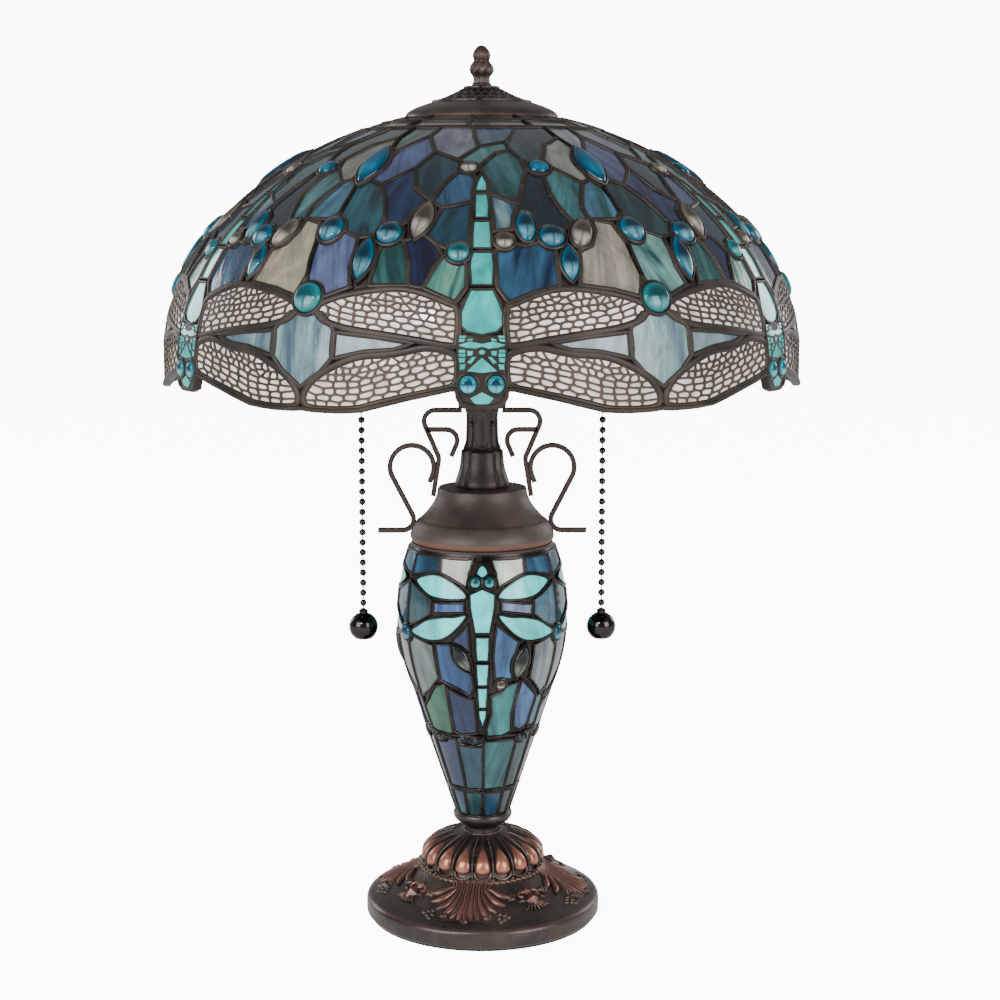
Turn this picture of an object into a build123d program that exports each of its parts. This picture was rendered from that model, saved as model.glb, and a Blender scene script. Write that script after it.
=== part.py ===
"""Stained glass table lamp with a dragonfly shade and a lit stained glass body.

Millimetres, +Z up, origin at the centre of the felt that the lamp stands on, front towards -Y.
Every sub-part is a separate solid, or a group of like solids, in parts/NAME.step.
"""

import os
from math import cos, radians, sin, sqrt, tan

from build123d import *

# ---- Driving dimensions -------------------------------------------------------------------
foot_r = 87.5
felt_t = 1.5
foot_top_z = 62.6
collar_top_z = 79.0
cap_seat_z = 284.0
cap_top_z = 324.0
flange_z = 382.0
hub_z = 395.0
socket_z = 438.0
rim_z = 404.0
finial_z = 611.2
top_z = 640.0

rod_r = 5.0
rod_bore_r = 3.5
stud_r = 3.0
thread_gap = 0.05  # between a rod and what is screwed or pushed onto it
slip_gap = 0.3  # around a rod that a part only slides over

# The shade's outer face is a sphere on the axis, a tangent shoulder arc and a short straight rim.
shade_r = 227.0
shoulder_r = 134.0
straight_rim = 16.0
tangent_deg = 43.0
crown_r = shoulder_r + (shade_r - shoulder_r) / cos(radians(tangent_deg))
shoulder_x = shade_r - shoulder_r
shoulder_z = rim_z + straight_rim
crown_z = shoulder_z - shoulder_x * tan(radians(tangent_deg))
glass_t = 3.0
came_w = 4.0
came_in = 3.8
came_out = 0.8
dragonflies = 6
crown_stop_deg = 77.2  # latitude where the glass stops and the crown ring starts
crown_ring_deg = 79.2
band_r = 51.5  # the spider's band, soldered inside the crown ring
wing_top_deg = 26.6  # latitude on the shoulder arc of the line above the wings

# The vase's outer face is a cone below a tangent arc.
vase_r = 62.3
vase_wide_z = 231.0
vase_arc_r = 143.0
vase_cone_deg = 18.4
vase_low_z = 76.5
vase_high_z = 282.0
vase_sectors = 3
vase_came_w = 3.4
vase_belts_z = (101.0, 142.0, 276.0)

socket_tilt_deg = 20.0
socket_x = 31.0
socket_r = 17.0
socket_len = 62.0
bulb_r = 30.0
bulb_len = 82.0

chain_x = 88.0
bead_r = 2.5
bead_pitch = 7.55
wire_r = 0.5
last_bead_z = 237.2
lower_beads = 23
coupling_r = 3.6
fob_r = 10.7
fob_z = 219.4

scroll_bar = 3.6
cord_hole_r = 3.6
cord_hole_z = 8.5


# ---- Helpers ------------------------------------------------------------------------------
def turned(*edges, arc=360):
    """The solid that a closed outline of (radius, height) edges sweeps about the Z axis."""
    return revolve(Plane.XZ * make_face(Curve() + list(edges)), Axis.Z, arc)


def turned_points(*points, arc=360):
    """As turned(), for an outline of straight runs."""
    return turned(Polyline(*points, close=True), arc=arc)


def ring(inner_r, outer_r, low, high):
    return turned_points((inner_r, low), (outer_r, low), (outer_r, high), (inner_r, high))


def rod(radius, low, high, x=0.0, y=0.0):
    """A vertical cylinder between two heights."""
    return Pos(x, y, low) * Cylinder(radius, high - low, align=(Align.CENTER, Align.CENTER, Align.MIN))


def hex_nut(across_flats, hole_r, low, high):
    body = extrude(RegularPolygon(across_flats / 2, 6, major_radius=False), high - low)
    return Pos(0, 0, low) * body - rod(hole_r, low - 1, high + 1)


def mirrored(part):
    """The same part on the other side of the lamp."""
    return mirror(part, Plane.YZ)


def on_socket(part):
    """Moves a part modelled along its own +Z onto the right-hand socket's axis."""
    return Pos(socket_x, 0, socket_z) * Rot(0, 90 - socket_tilt_deg, 0) * part


# ---- Foot ---------------------------------------------------------------------------------
def felt_pad():
    return rod(foot_r - 3, 0, felt_t)


def foot_casting():
    """Hollow cast foot: a disc that rises to a bulging, petalled dome."""
    wall_r = foot_r - 8.5
    body = turned(
        Line((wall_r, felt_t), (foot_r - 1.5, felt_t)),
        Line((foot_r - 1.5, felt_t), (foot_r, 3.0)),
        Line((foot_r, 3.0), (foot_r, 10.5)),
        ThreePointArc((foot_r, 10.5), (86.2, 14.2), (82.5, 16.5)),
        ThreePointArc((82.5, 16.5), (63.5, 24.0), (47.0, 35.0)),
        Line((47.0, 35.0), (45.0, 39.0)),
        Line((45.0, 39.0), (40.5, 40.5)),
        ThreePointArc((40.5, 40.5), (42.4, 44.0), (42.0, 48.0)),
        ThreePointArc((42.0, 48.0), (33.5, 57.5), (15.0, 61.6)),
        Line((15.0, 61.6), (14.0, foot_top_z)),
        Line((14.0, foot_top_z), (rod_r + slip_gap, foot_top_z)),
        Line((rod_r + slip_gap, foot_top_z), (rod_r + slip_gap, 56.0)),
        Line((rod_r + slip_gap, 56.0), (16.0, 56.0)),
        ThreePointArc((16.0, 56.0), (30.5, 53.0), (37.5, 46.0)),
        Line((37.5, 46.0), (39.0, 37.0)),
        ThreePointArc((39.0, 37.0), (59.0, 21.5), (wall_r, 12.0)),
        Line((wall_r, 12.0), (wall_r, felt_t)),
    )
    cord_way = Pos(0, wall_r, cord_hole_z) * Rot(90, 0, 0) * Cylinder(5.3, 24)
    return body - cord_way


def foot_washer():
    return ring(rod_r + slip_gap, 14.0, 54.0, 56.0)


def foot_nut():
    return hex_nut(17.0, rod_r + thread_gap, 48.0, 54.0)


def cord_bushing():
    """Push-in bushing in the back of the foot; its bore is where the mains cord passes."""
    length, flange = 13.4, 2.0
    body = ring(cord_hole_r, 5.2, 0, length) + ring(cord_hole_r, 6.9, length - flange, length)
    return Pos(0, foot_r + 2.1 - length, cord_hole_z) * Rot(-90, 0, 0) * body


# ---- Vase ---------------------------------------------------------------------------------
def vase_radius(z, offset=0.0):
    """Radius of the vase's face, offset outwards along its normal, at height z on the arc."""
    return vase_r - vase_arc_r + sqrt((vase_arc_r + offset) ** 2 - (z - vase_wide_z) ** 2)


def vase_wall(inner, outer, arc=360):
    """The vase's wall between two offsets from its outer face, from its foot to its top."""
    centre_x = vase_r - vase_arc_r
    lean = radians(vase_cone_deg)

    def tangent(offset):
        reach = vase_arc_r + offset
        return centre_x + reach * cos(lean), vase_wide_z - reach * sin(lean)

    def foot(offset):
        x, z = tangent(offset)
        return x - (z - vase_low_z) * tan(lean), vase_low_z

    def top(offset):
        return vase_radius(vase_high_z, offset), vase_high_z

    def belly(offset):
        return centre_x + vase_arc_r + offset, vase_wide_z

    return turned(
        Line(foot(inner), foot(outer)),
        Line(foot(outer), tangent(outer)),
        ThreePointArc(tangent(outer), belly(outer), top(outer)),
        Line(top(outer), top(inner)),
        ThreePointArc(top(inner), belly(inner), tangent(inner)),
        Line(tangent(inner), foot(inner)),
        arc=arc,
    )


def vase_came_cutter():
    """Slabs and discs that mark where lead lies between the vase's panes."""
    cutter = None
    for belt_z in vase_belts_z:
        disc = rod(vase_r + 9, belt_z - vase_came_w / 2, belt_z + vase_came_w / 2)
        cutter = disc if cutter is None else cutter + disc
    height = vase_high_z - vase_low_z
    for n in range(vase_sectors):
        slab = Pos(45, 0, vase_low_z + height / 2) * Box(90, vase_came_w, height + 2)
        cutter += Rot(0, 0, -90 + (n + 0.5) * 360 / vase_sectors) * slab
    return cutter


def vase_place(azimuth_deg, z):
    """A plane on the vase's outer face, normal outwards. Azimuth 0 is the front, positive to the right."""
    if z > vase_wide_z - vase_arc_r * sin(radians(vase_cone_deg)):
        lift = (z - vase_wide_z) / vase_arc_r
        r, up = vase_radius(z), lift
    else:
        up = -sin(radians(vase_cone_deg))
        tangent_r = vase_r - vase_arc_r * (1 - cos(radians(vase_cone_deg)))
        tangent_z = vase_wide_z - vase_arc_r * sin(radians(vase_cone_deg))
        r = tangent_r - (tangent_z - z) * tan(radians(vase_cone_deg))
    return face_plane(azimuth_deg, r, z, up)


def face_plane(azimuth_deg, r, z, normal_up):
    """A plane at a point on a turned face, with its x axis along the circle, to the right."""
    a = radians(azimuth_deg)
    out = sqrt(1 - normal_up**2)
    return Plane(
        origin=(r * sin(a), -r * cos(a), z),
        x_dir=(cos(a), sin(a), 0),
        z_dir=(out * sin(a), -out * cos(a), normal_up),
    )


# ---- Jewels -------------------------------------------------------------------------------
def cabochon(length, width, tilt_deg, back, crown):
    """A domed jewel, round or oval, standing through a pane: z from -back to +crown."""
    outline = Ellipse(width / 2, length / 2) if length != width else Circle(width / 2)
    body = extrude(outline, back + crown)
    rim = body.faces().sort_by(Axis.Z)[-1].edges()
    body = chamfer(rim, crown * 0.7)
    return Rot(0, 0, -tilt_deg) * Pos(0, 0, -back) * body


def marquise(length, width, tilt_deg, back, crown):
    """A pointed oval jewel, standing through a pane."""
    half_l, half_w = length / 2, width / 2
    outline = make_face(
        [
            ThreePointArc((0, -half_l), (half_w, 0), (0, half_l)),
            ThreePointArc((0, half_l), (-half_w, 0), (0, -half_l)),
        ]
    )
    body = extrude(outline, back + crown)
    return Rot(0, 0, -tilt_deg) * Pos(0, 0, -back) * body


# Each jewel is (azimuth in degrees, height along the face in mm, length, width, tilt), for one sector.
vase_round_jewels = ((-4.8, 264, 7, 7, 0), (4.8, 264, 7, 7, 0), (14, 189, 7, 7, 0), (59.5, 222, 10, 10, 0))
vase_long_jewels = ((27, 205, 25, 13, 12), (-14, 208, 25, 11, -35))
shade_round_jewels = (
    (-4.1, 101, 14, 14, 0),
    (4.1, 109.5, 11.5, 11.5, 0),
    (-17.5, 115.5, 17, 17, 0),
    (13, 113, 17, 17, 0),
    (-3.3, 179.5, 11.5, 11.5, 0),
    (14.8, 179.5, 14, 14, 0),
    (8.4, 121.5, 25, 12, 0),
    (19, 115.5, 24, 14, 22),
)
shade_long_jewels = ((-11.6, 127, 32, 14, 10), (-21.1, 97, 32, 13, 4), (15.4, 94.5, 26, 12, 3))
# These sit on the line between two sectors.
corner_round_jewels = ((30, 68.5, 20, 20, 0), (30, 118.5, 20, 17, 0))
corner_long_jewels = ((30, 183, 45, 16, 0),)
eye_jewels = ((-2.1, 16.5, 10, 10, 0), (2.1, 16.5, 10, 10, 0))


def set_jewels(spots, place, shape):
    """One sector's jewels, each standing on the plane that place() gives for its azimuth and height."""
    return [place(azimuth, along) * shape(*sizes, glass_t + 0.5, 2.0) for azimuth, along, *sizes in spots]


def all_round(shapes, sectors):
    """The shapes of one sector repeated in every sector, as one group of solids."""
    step = 360 / sectors
    return Compound([Rot(0, 0, n * step) * shape for n in range(sectors) for shape in shapes])


def drill(part, jewels):
    for jewel in jewels:
        part -= jewel
    return part


# ---- Shade --------------------------------------------------------------------------------
def shade_place(azimuth_deg, along):
    """A plane on the shade's outer face, at a distance along the meridian from the rim."""
    shoulder_end = straight_rim + shoulder_r * radians(tangent_deg)
    if along < straight_rim:
        return face_plane(azimuth_deg, shade_r, rim_z + along, 0)
    if along < shoulder_end:
        lat = (along - straight_rim) / shoulder_r
        radius, height = shoulder_x + shoulder_r * cos(lat), shoulder_z + shoulder_r * sin(lat)
        return face_plane(azimuth_deg, radius, height, sin(lat))
    lat = radians(tangent_deg) + (along - shoulder_end) / crown_r
    return face_plane(azimuth_deg, crown_r * cos(lat), crown_z + crown_r * sin(lat), sin(lat))


def shade_wall(low_deg, high_deg, inner, outer, arc=360):
    """The shade's wall between two offsets from its outer face. Latitudes are on the shoulder arc
    below tangent_deg and on the crown above it; a low_deg of None starts at the rim."""

    def shoulder(offset, lat_deg):
        lat, reach = radians(lat_deg), shoulder_r + offset
        return shoulder_x + reach * cos(lat), shoulder_z + reach * sin(lat)

    def crown(offset, lat_deg):
        lat, reach = radians(lat_deg), crown_r + offset
        return reach * cos(lat), crown_z + reach * sin(lat)

    def side(offset):
        """Edges from the low end to the high end at one offset."""
        edges, start_deg = [], low_deg
        if low_deg is None:
            edges.append(Line((shade_r + offset, rim_z), (shade_r + offset, shoulder_z)))
            start_deg = 0.0
        if start_deg < tangent_deg:
            stop_deg = min(high_deg, tangent_deg)
            middle = shoulder(offset, (start_deg + stop_deg) / 2)
            edges.append(ThreePointArc(shoulder(offset, start_deg), middle, shoulder(offset, stop_deg)))
            start_deg = stop_deg
        if high_deg > start_deg:
            middle = crown(offset, (start_deg + high_deg) / 2)
            edges.append(ThreePointArc(crown(offset, start_deg), middle, crown(offset, high_deg)))
        return edges

    outside, inside = side(outer), side(inner)
    ends = [Line(inside[0] @ 0, outside[0] @ 0), Line(inside[-1] @ 1, outside[-1] @ 1)]
    return turned(*outside, *inside, *ends, arc=arc)


def sector(shape, sectors=dragonflies):
    """Turns a shape swept from +X through one sector's angle so that it is centred on the front."""
    return Rot(0, 0, -90 - 180 / sectors) * shape


def came_slabs(reach=240.0, height=260.0):
    """Radial slabs between the sectors, one in each gap."""
    slabs = []
    for n in range(dragonflies):
        slab = Pos(reach / 2, 0, rim_z + height / 2 - 5) * Box(reach, came_w, height)
        slabs.append(Rot(0, 0, -90 + (n + 0.5) * 360 / dragonflies) * slab)
    return slabs


belt_half_deg = 0.8  # half the width of the lead line above the wings


def rim_trimmer():
    """What the scalloped rim leaves out of the front sector, below the wings and the head."""
    depth, low = 120.0, rim_z - 5
    half = [(0, 408), (9, 408), (13, 411), (17, 417), (30, 417), (60, 412), (90, 406.5), (113.5, 404)]
    outline = half + [(113.5, low), (-113.5, low)] + [(-x, z) for x, z in reversed(half[1:])]
    face = Plane.XZ * make_face(Polyline(*outline, close=True))
    return Pos(0, -150, 0) * extrude(face, depth)


def field_pane(slabs, jewels):
    """The background glass of one sector, from the wings up to the crown."""
    wall = shade_wall(wing_top_deg + belt_half_deg, crown_stop_deg, -glass_t, 0, arc=360 / dragonflies)
    pane = sector(wall)
    return drill(pane - slabs, jewels)


def dragonfly_pane(slabs, jewels):
    """The dragonfly's wings and body and the glass between them, down to the scalloped rim."""
    pane = sector(shade_wall(None, wing_top_deg - belt_half_deg, -glass_t, 0, arc=360 / dragonflies))
    return drill(pane - slabs - rim_trimmer(), jewels)


def shade_lead_frame(slabs, jewels):
    """Six upright cames and the belt above the wings, as one soldered frame."""
    whole = shade_wall(None, crown_stop_deg, -came_in, came_out)
    frame = shade_wall(wing_top_deg - belt_half_deg, wing_top_deg + belt_half_deg, -came_in, came_out)
    for slab in slabs:
        frame += whole & slab
    return drill(frame, jewels)


def shade_spider():
    """Hub, four arms and the band that carries the crown ring."""
    spider = ring(rod_r + slip_gap, 12.0, 584.0, 588.0) + ring(band_r - 2.5, band_r, 583.0, 588.0)
    for n in range(4):
        spider += Rot(0, 0, 45 + 90 * n) * (Pos(30.5, 0, 585.5) * Box(39, 7, 3))
    return spider


def vent_cap():
    """Spun cap over the crown, with two rings of vent holes in its cone."""
    cap = turned(
        Line((53.3, 590.2), (53.3, 592.0)),
        ThreePointArc((53.3, 592.0), (47.5, 597.6), (33.0, 601.0)),
        Line((33.0, 601.0), (13.0, 609.6)),
        Line((13.0, 609.6), (9.0, finial_z - 0.2)),
        Line((9.0, finial_z - 0.2), (stud_r + slip_gap, finial_z - 0.2)),
        Line((stud_r + slip_gap, finial_z - 0.2), (stud_r + slip_gap, 609.2)),
        Line((stud_r + slip_gap, 609.2), (12.0, 608.2)),
        Line((12.0, 608.2), (32.2, 599.5)),
        ThreePointArc((32.2, 599.5), (46.0, 596.2), (51.6, 590.2)),
        Line((51.6, 590.2), (53.3, 590.2)),
    )
    for ring_r, count, hole_r in ((27.0, 20, 1.8), (20.0, 20, 1.4)):
        for n in range(count):
            a = radians(n * 360 / count)
            cap -= rod(hole_r, 595, 612, ring_r * cos(a), ring_r * sin(a))
    return cap


def finial():
    """Turned acorn finial with a blind hole that runs freely on the stud."""
    return turned(
        Line((stud_r + thread_gap, finial_z), (6.0, finial_z)),
        Line((6.0, finial_z), (5.8, 619.0)),
        ThreePointArc((5.8, 619.0), (8.3, 622.5), (5.6, 627.8)),
        Line((5.6, 627.8), (5.0, 629.0)),
        ThreePointArc((5.0, 629.0), (5.9, 633.5), (3.6, 638.0)),
        ThreePointArc((3.6, 638.0), (2.6, 639.3), (1.0, top_z)),
        Line((1.0, top_z), (0, top_z)),
        Line((0, top_z), (0, 624.0)),
        Line((0, 624.0), (stud_r + thread_gap, 624.0)),
        Line((stud_r + thread_gap, 624.0), (stud_r + thread_gap, finial_z)),
    )


# ---- Middle: cap, column, scrolls, lamp cluster ----------------------------------------------
def vase_holder():
    """Spool on top of the foot whose cup holds the vase."""
    bore = rod_r + slip_gap
    return turned(
        Line((bore, foot_top_z), (13.5, foot_top_z)),
        ThreePointArc((13.5, foot_top_z), (12.3, 65.5), (13.0, 68.6)),
        ThreePointArc((13.0, 68.6), (18.8, 71.0), (21.8, 76.0)),
        Line((21.8, 76.0), (21.8, collar_top_z)),
        Line((21.8, collar_top_z), (20.8, collar_top_z)),
        Line((20.8, collar_top_z), (20.0, 74.0)),
        Line((20.0, 74.0), (bore, 74.0)),
        Line((bore, 74.0), (bore, foot_top_z)),
    )


def riser_rod():
    """Threaded tube that clamps the whole lamp together, stepped down to the finial's stud."""
    body = rod(rod_r, 44.0, 590.0) + rod(stud_r, 589.0, 622.0)
    return body - rod(rod_bore_r, 43.0, 430.0)


def vase_cap():
    """Spun metal cover on top of the vase."""
    wall = 1.6
    return turned(
        Line((49.0, cap_seat_z), (51.6, cap_seat_z)),
        ThreePointArc((51.6, cap_seat_z), (53.0, 287.0), (47.6, 297.6)),
        ThreePointArc((47.6, 297.6), (38.6, 308.6), (33.6, 317.0)),
        Line((33.6, 317.0), (33.6, 321.5)),
        ThreePointArc((33.6, 321.5), (32.8, 323.3), (31.0, cap_top_z)),
        Line((31.0, cap_top_z), (rod_r + slip_gap, cap_top_z)),
        Line((rod_r + slip_gap, cap_top_z), (rod_r + slip_gap, cap_top_z - wall)),
        Line((rod_r + slip_gap, cap_top_z - wall), (32.0, cap_top_z - wall)),
        Line((32.0, cap_top_z - wall), (32.0, 316.5)),
        ThreePointArc((32.0, 316.5), (37.4, 307.4), (46.2, 296.8)),
        ThreePointArc((46.2, 296.8), (51.2, 287.6), (49.0, cap_seat_z)),
    )


def column_casting():
    """Bell-footed column between the vase's cap and the lamp cluster."""
    bore = rod_r + slip_gap
    return turned(
        Line((bore, cap_top_z), (19.8, cap_top_z)),
        Line((19.8, cap_top_z), (19.6, 327.0)),
        ThreePointArc((19.6, 327.0), (16.4, 336.0), (14.6, 351.0)),
        Line((14.6, 351.0), (11.8, 355.5)),
        Line((11.8, 355.5), (10.9, flange_z)),
        Line((10.9, flange_z), (bore, flange_z)),
        Line((bore, flange_z), (bore, cap_top_z)),
    )


def column_flange():
    bore = rod_r + slip_gap
    return turned_points(
        (bore, flange_z),
        (16.4, flange_z),
        (17.4, flange_z + 1.0),
        (17.4, hub_z),
        (bore, hub_z),
    )


def bar(*path):
    """A square bar bent to a path in the plane of the front view."""
    face = Plane.XZ * trace(Curve() + list(path), line_width=scroll_bar)
    return extrude(face, scroll_bar / 2, both=True)


def scroll_left():
    """Three bent square bars, welded into one scroll between the cap and the column's flange."""
    top = flange_z - scroll_bar / 2
    arm = FilletPolyline((-14.6, top), (-46.5, top), (-31.4, 345.0), (-35.9, 317.0), radius=(7.5, 9.0))
    hook = FilletPolyline((-40.4, 366.0), (-14.0, 366.0), (-22.6, 346.2), radius=8.0)
    loop = CenterArc((-51.4, 338.4), 16.0, -20.0, 227.0)
    tail = Line((-38.5, 327.1), loop @ 0)
    foot = FilletPolyline(loop @ 1, (-50.6, 302.0), (-57.4, 291.6), (-76.6, 291.6), radius=(9.0, 4.0))
    return bar(arm) + bar(hook) + bar(tail, loop, foot)


def cluster_body():
    """Hub above the flange, with a stub arm to each socket."""
    bore = rod_r + slip_gap
    hub = turned_points(
        (bore, hub_z),
        (17.4, hub_z),
        (23.0, 408.0),
        (23.0, 444.0),
        (18.0, 450.0),
        (bore, 450.0),
    )
    arm = on_socket(Pos(0, 0, -12) * Cylinder(6.5, 24))
    return hub + (arm + mirrored(arm)) - rod(bore, hub_z - 1, 451)


def socket_shell():
    """Brass shell of one lamp socket, along its own +Z from the hub's arm."""
    return turned_points(
        (0, 0), (8.0, 0), (socket_r, 9.0), (socket_r, socket_len), (socket_r - 1.1, socket_len),
        (socket_r - 1.1, 9.8), (7.6, 1.2), (0, 1.2),
    )


def socket_liner():
    """Insulator and threaded sleeve inside the socket shell."""
    return turned_points(
        (0, 26.0), (15.6, 26.0), (15.6, socket_len - 1.5), (13.4, socket_len - 1.5), (13.4, 30.0), (0, 30.0)
    )


def bulb_base():
    return turned_points(
        (0, 31.0), (3.5, 31.0), (4.5, 32.5), (9.0, 35.0), (13.0, 37.0), (13.0, 60.0), (0, 60.0)
    )


def bulb_glass():
    """Hollow envelope of a household bulb, from the top of its base."""
    neck, wide, tip = 60.0, 60.0 + bulb_len - bulb_r, 60.0 + bulb_len
    inner_r = bulb_r - 1.0
    slope = cos(radians(45))
    up, down = (0, 1), (0, -1)
    outside = ((13.2, neck), (17.0, neck + 16), (27.0, wide - 15), (bulb_r, wide))
    inside = ((inner_r, wide), (26.0, wide - 15), (15.9, neck + 16), (12.0, neck))
    return turned(
        Line((12.0, neck), (13.2, neck)),
        Spline(*outside, tangents=(up, up)),
        ThreePointArc((bulb_r, wide), (bulb_r * slope, wide + bulb_r * slope), (0, tip)),
        Line((0, tip), (0, tip - 1.0)),
        ThreePointArc((0, tip - 1.0), (inner_r * slope, wide + inner_r * slope), (inner_r, wide)),
        Spline(*inside, tangents=(down, down)),
    )


def switch_mouth():
    """Bell mouth under the right-hand socket that the pull chain leaves through."""
    tube = ring(3.4, 5.0, 430.0, 452.0) + ring(3.4, 5.8, 430.0, 431.5)
    shell = on_socket(Pos(0, 0, socket_len / 2) * Cylinder(socket_r, socket_len + 20))
    mouth = Pos(chain_x, 0, 0) * tube - shell
    return mouth.solids().sort_by(Axis.Z)[0]


def night_bracket():
    """Clip on the riser that carries the small lamp inside the vase."""
    clip = ring(rod_r + thread_gap, 8.5, 138.0, 148.0)
    shelf = Pos(17, 0, 147) * Box(20, 12, 2) - rod(rod_r + thread_gap, 130, 150)
    return clip + shelf


def night_socket():
    tube = turned_points((0, 148.0), (8.0, 148.0), (8.0, 172.0), (6.3, 172.0), (6.3, 153.0), (0, 153.0))
    return Pos(18.5, 0, 0) * tube


def night_bulb():
    bulb = turned(
        Line((0, 155.0), (6.1, 155.0)),
        Line((6.1, 155.0), (6.1, 173.0)),
        ThreePointArc((6.1, 173.0), (10.8, 187.0), (6.0, 203.0)),
        ThreePointArc((6.0, 203.0), (4.2, 206.6), (1.5, 208.0)),
        Line((1.5, 208.0), (0, 208.0)),
        Line((0, 208.0), (0, 155.0)),
    )
    return Pos(18.5, 0, 0) * bulb


def shade_seat_nut():
    return hex_nut(17.0, rod_r + thread_gap, 576.0, 582.0) + ring(rod_r + thread_gap, 11.0, 582.0, 583.8)


# ---- Pull chains ----------------------------------------------------------------------------
def beads(first, last):
    """The right-hand chain's beads, numbered upwards from the fob, on one wire."""
    low, high = last_bead_z + first * bead_pitch, last_bead_z + last * bead_pitch
    chain = rod(wire_r, low, high, chain_x)
    for n in range(first, last + 1):
        chain += Pos(chain_x, 0, last_bead_z + n * bead_pitch) * Sphere(bead_r)
    return chain


def chain_upper():
    """Short chain from the switch, ending in the coupling that holds the long chain's top bead."""
    top_bead_z = last_bead_z + (lower_beads + 2) * bead_pitch
    chain = beads(lower_beads + 1, lower_beads + 2) + rod(wire_r, top_bead_z, 440.0, chain_x)
    pivot_z = last_bead_z + lower_beads * bead_pitch
    sleeve = ring(bead_r + slip_gap, coupling_r, pivot_z - 2.4, pivot_z + 11.2)
    sleeve += ring(wire_r, coupling_r, pivot_z + 10.2, pivot_z + 11.2)
    return Compound([chain, Pos(chain_x, 0, 0) * sleeve])


def chain_lower():
    return beads(0, lower_beads) + rod(wire_r, 233.0, last_bead_z, chain_x)


def fob():
    """Weighted ball with a ferrule, cut flat underneath."""
    ball = Pos(0, 0, fob_z) * Sphere(fob_r) + rod(3.4, fob_z + 8, 232.0) + rod(1.8, 231.0, 233.0)
    return Pos(chain_x, 0, 0) * (ball & rod(30, fob_z - 9.0, 240))


def build():
    slabs = came_slabs()
    round_jewels = set_jewels(shade_round_jewels, shade_place, cabochon)
    long_jewels = set_jewels(shade_long_jewels, shade_place, marquise)
    corner_rounds = set_jewels(corner_round_jewels, shade_place, cabochon)
    corner_longs = set_jewels(corner_long_jewels, shade_place, marquise)
    corners = all_round(corner_rounds + corner_longs, dragonflies).solids()
    eyes = set_jewels(eye_jewels, shade_place, cabochon)

    vase_rounds = set_jewels(vase_round_jewels, vase_place, cabochon)
    vase_longs = set_jewels(vase_long_jewels, vase_place, marquise)
    vase_stones = all_round(vase_rounds + vase_longs, vase_sectors)
    vase_cutter = vase_came_cutter()
    vase_panes = sector(vase_wall(-glass_t, 0, arc=360 / vase_sectors), vase_sectors) - vase_cutter
    vase_panes = drill(vase_panes, vase_stones.solids())

    crown_ring = shade_wall(crown_stop_deg, crown_ring_deg, -came_in, came_out) - rod(band_r, 570, 600)
    parts = {
        "felt_pad": felt_pad(),
        "foot_casting": foot_casting(),
        "foot_washer": foot_washer(),
        "foot_nut": foot_nut(),
        "cord_bushing": cord_bushing(),
        "vase_holder": vase_holder(),
        "riser_rod": riser_rod(),
        "vase_lead_frame": drill(vase_wall(-came_in, came_out) & vase_cutter, vase_stones.solids()),
        "vase_jewels": vase_stones,
        "vase_bottom_ring": ring(13.0, 18.4, 74.0, vase_low_z),
        "vase_top_ring": ring(45.5, 52.0, vase_high_z, cap_seat_z),
        "vase_cap": vase_cap(),
        "night_light_bracket": night_bracket(),
        "night_light_socket": night_socket(),
        "night_light_bulb": night_bulb(),
        "column_casting": column_casting(),
        "column_flange": column_flange(),
        "scroll_left": scroll_left(),
        "scroll_right": mirrored(scroll_left()),
        "cluster_body": cluster_body(),
        "socket_shell_right": on_socket(socket_shell()),
        "socket_shell_left": mirrored(on_socket(socket_shell())),
        "socket_liners": Compound([on_socket(socket_liner()), mirrored(on_socket(socket_liner()))]),
        "switch_mouths": Compound([switch_mouth(), mirrored(switch_mouth())]),
        "shade_seat_nut": shade_seat_nut(),
        "shade_crown_ring": crown_ring,
        "shade_spider": shade_spider(),
        "shade_lead_frame": shade_lead_frame(slabs, corners),
        "shade_round_jewels": all_round(round_jewels + corner_rounds, dragonflies),
        "shade_long_jewels": all_round(long_jewels + corner_longs, dragonflies),
        "dragonfly_eyes": all_round(eyes, dragonflies),
        "vent_cap": vent_cap(),
        "finial": finial(),
        "bulb_base_right": on_socket(bulb_base()),
        "bulb_base_left": mirrored(on_socket(bulb_base())),
        "bulb_glass_right": on_socket(bulb_glass()),
        "bulb_glass_left": mirrored(on_socket(bulb_glass())),
        "chain_upper_right": chain_upper(),
        "chain_upper_left": mirrored(chain_upper()),
        "chain_lower_right": chain_lower(),
        "chain_lower_left": mirrored(chain_lower()),
        "fob_right": fob(),
        "fob_left": mirrored(fob()),
    }
    here_and_left = corner_rounds + corner_longs
    here_and_left += [Rot(0, 0, -360 / dragonflies) * jewel for jewel in here_and_left]
    field = field_pane(slabs, round_jewels + long_jewels + here_and_left)
    insects = dragonfly_pane(slabs, eyes + here_and_left)
    for n in range(dragonflies):
        turn = Rot(0, 0, n * 360 / dragonflies)
        parts[f"shade_field_panel_{n + 1}"] = turn * field
        parts[f"shade_dragonfly_panel_{n + 1}"] = turn * insects
    for n in range(vase_sectors):
        parts[f"vase_panel_{n + 1}"] = Rot(0, 0, n * 360 / vase_sectors) * vase_panes
    return parts


os.makedirs("parts", exist_ok=True)
for name, shape in build().items():
    export_step(shape, f"parts/{name}.step")
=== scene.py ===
"""Looks of a stained glass table lamp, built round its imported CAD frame.

Design values are in millimetres and degrees. Azimuth 0 is the lamp's front, towards -Y, and positive
azimuths go to the right. A place on a turned surface is (azimuth, s), where s is the distance up its
meridian, and lift is the height above it. Meshes are built in millimetres and finished in metres.
"""

import random
from math import ceil, cos, degrees, hypot, pi, radians, sin, sqrt, tan

import bmesh
import bpy
from mathutils import Matrix, Vector


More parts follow.
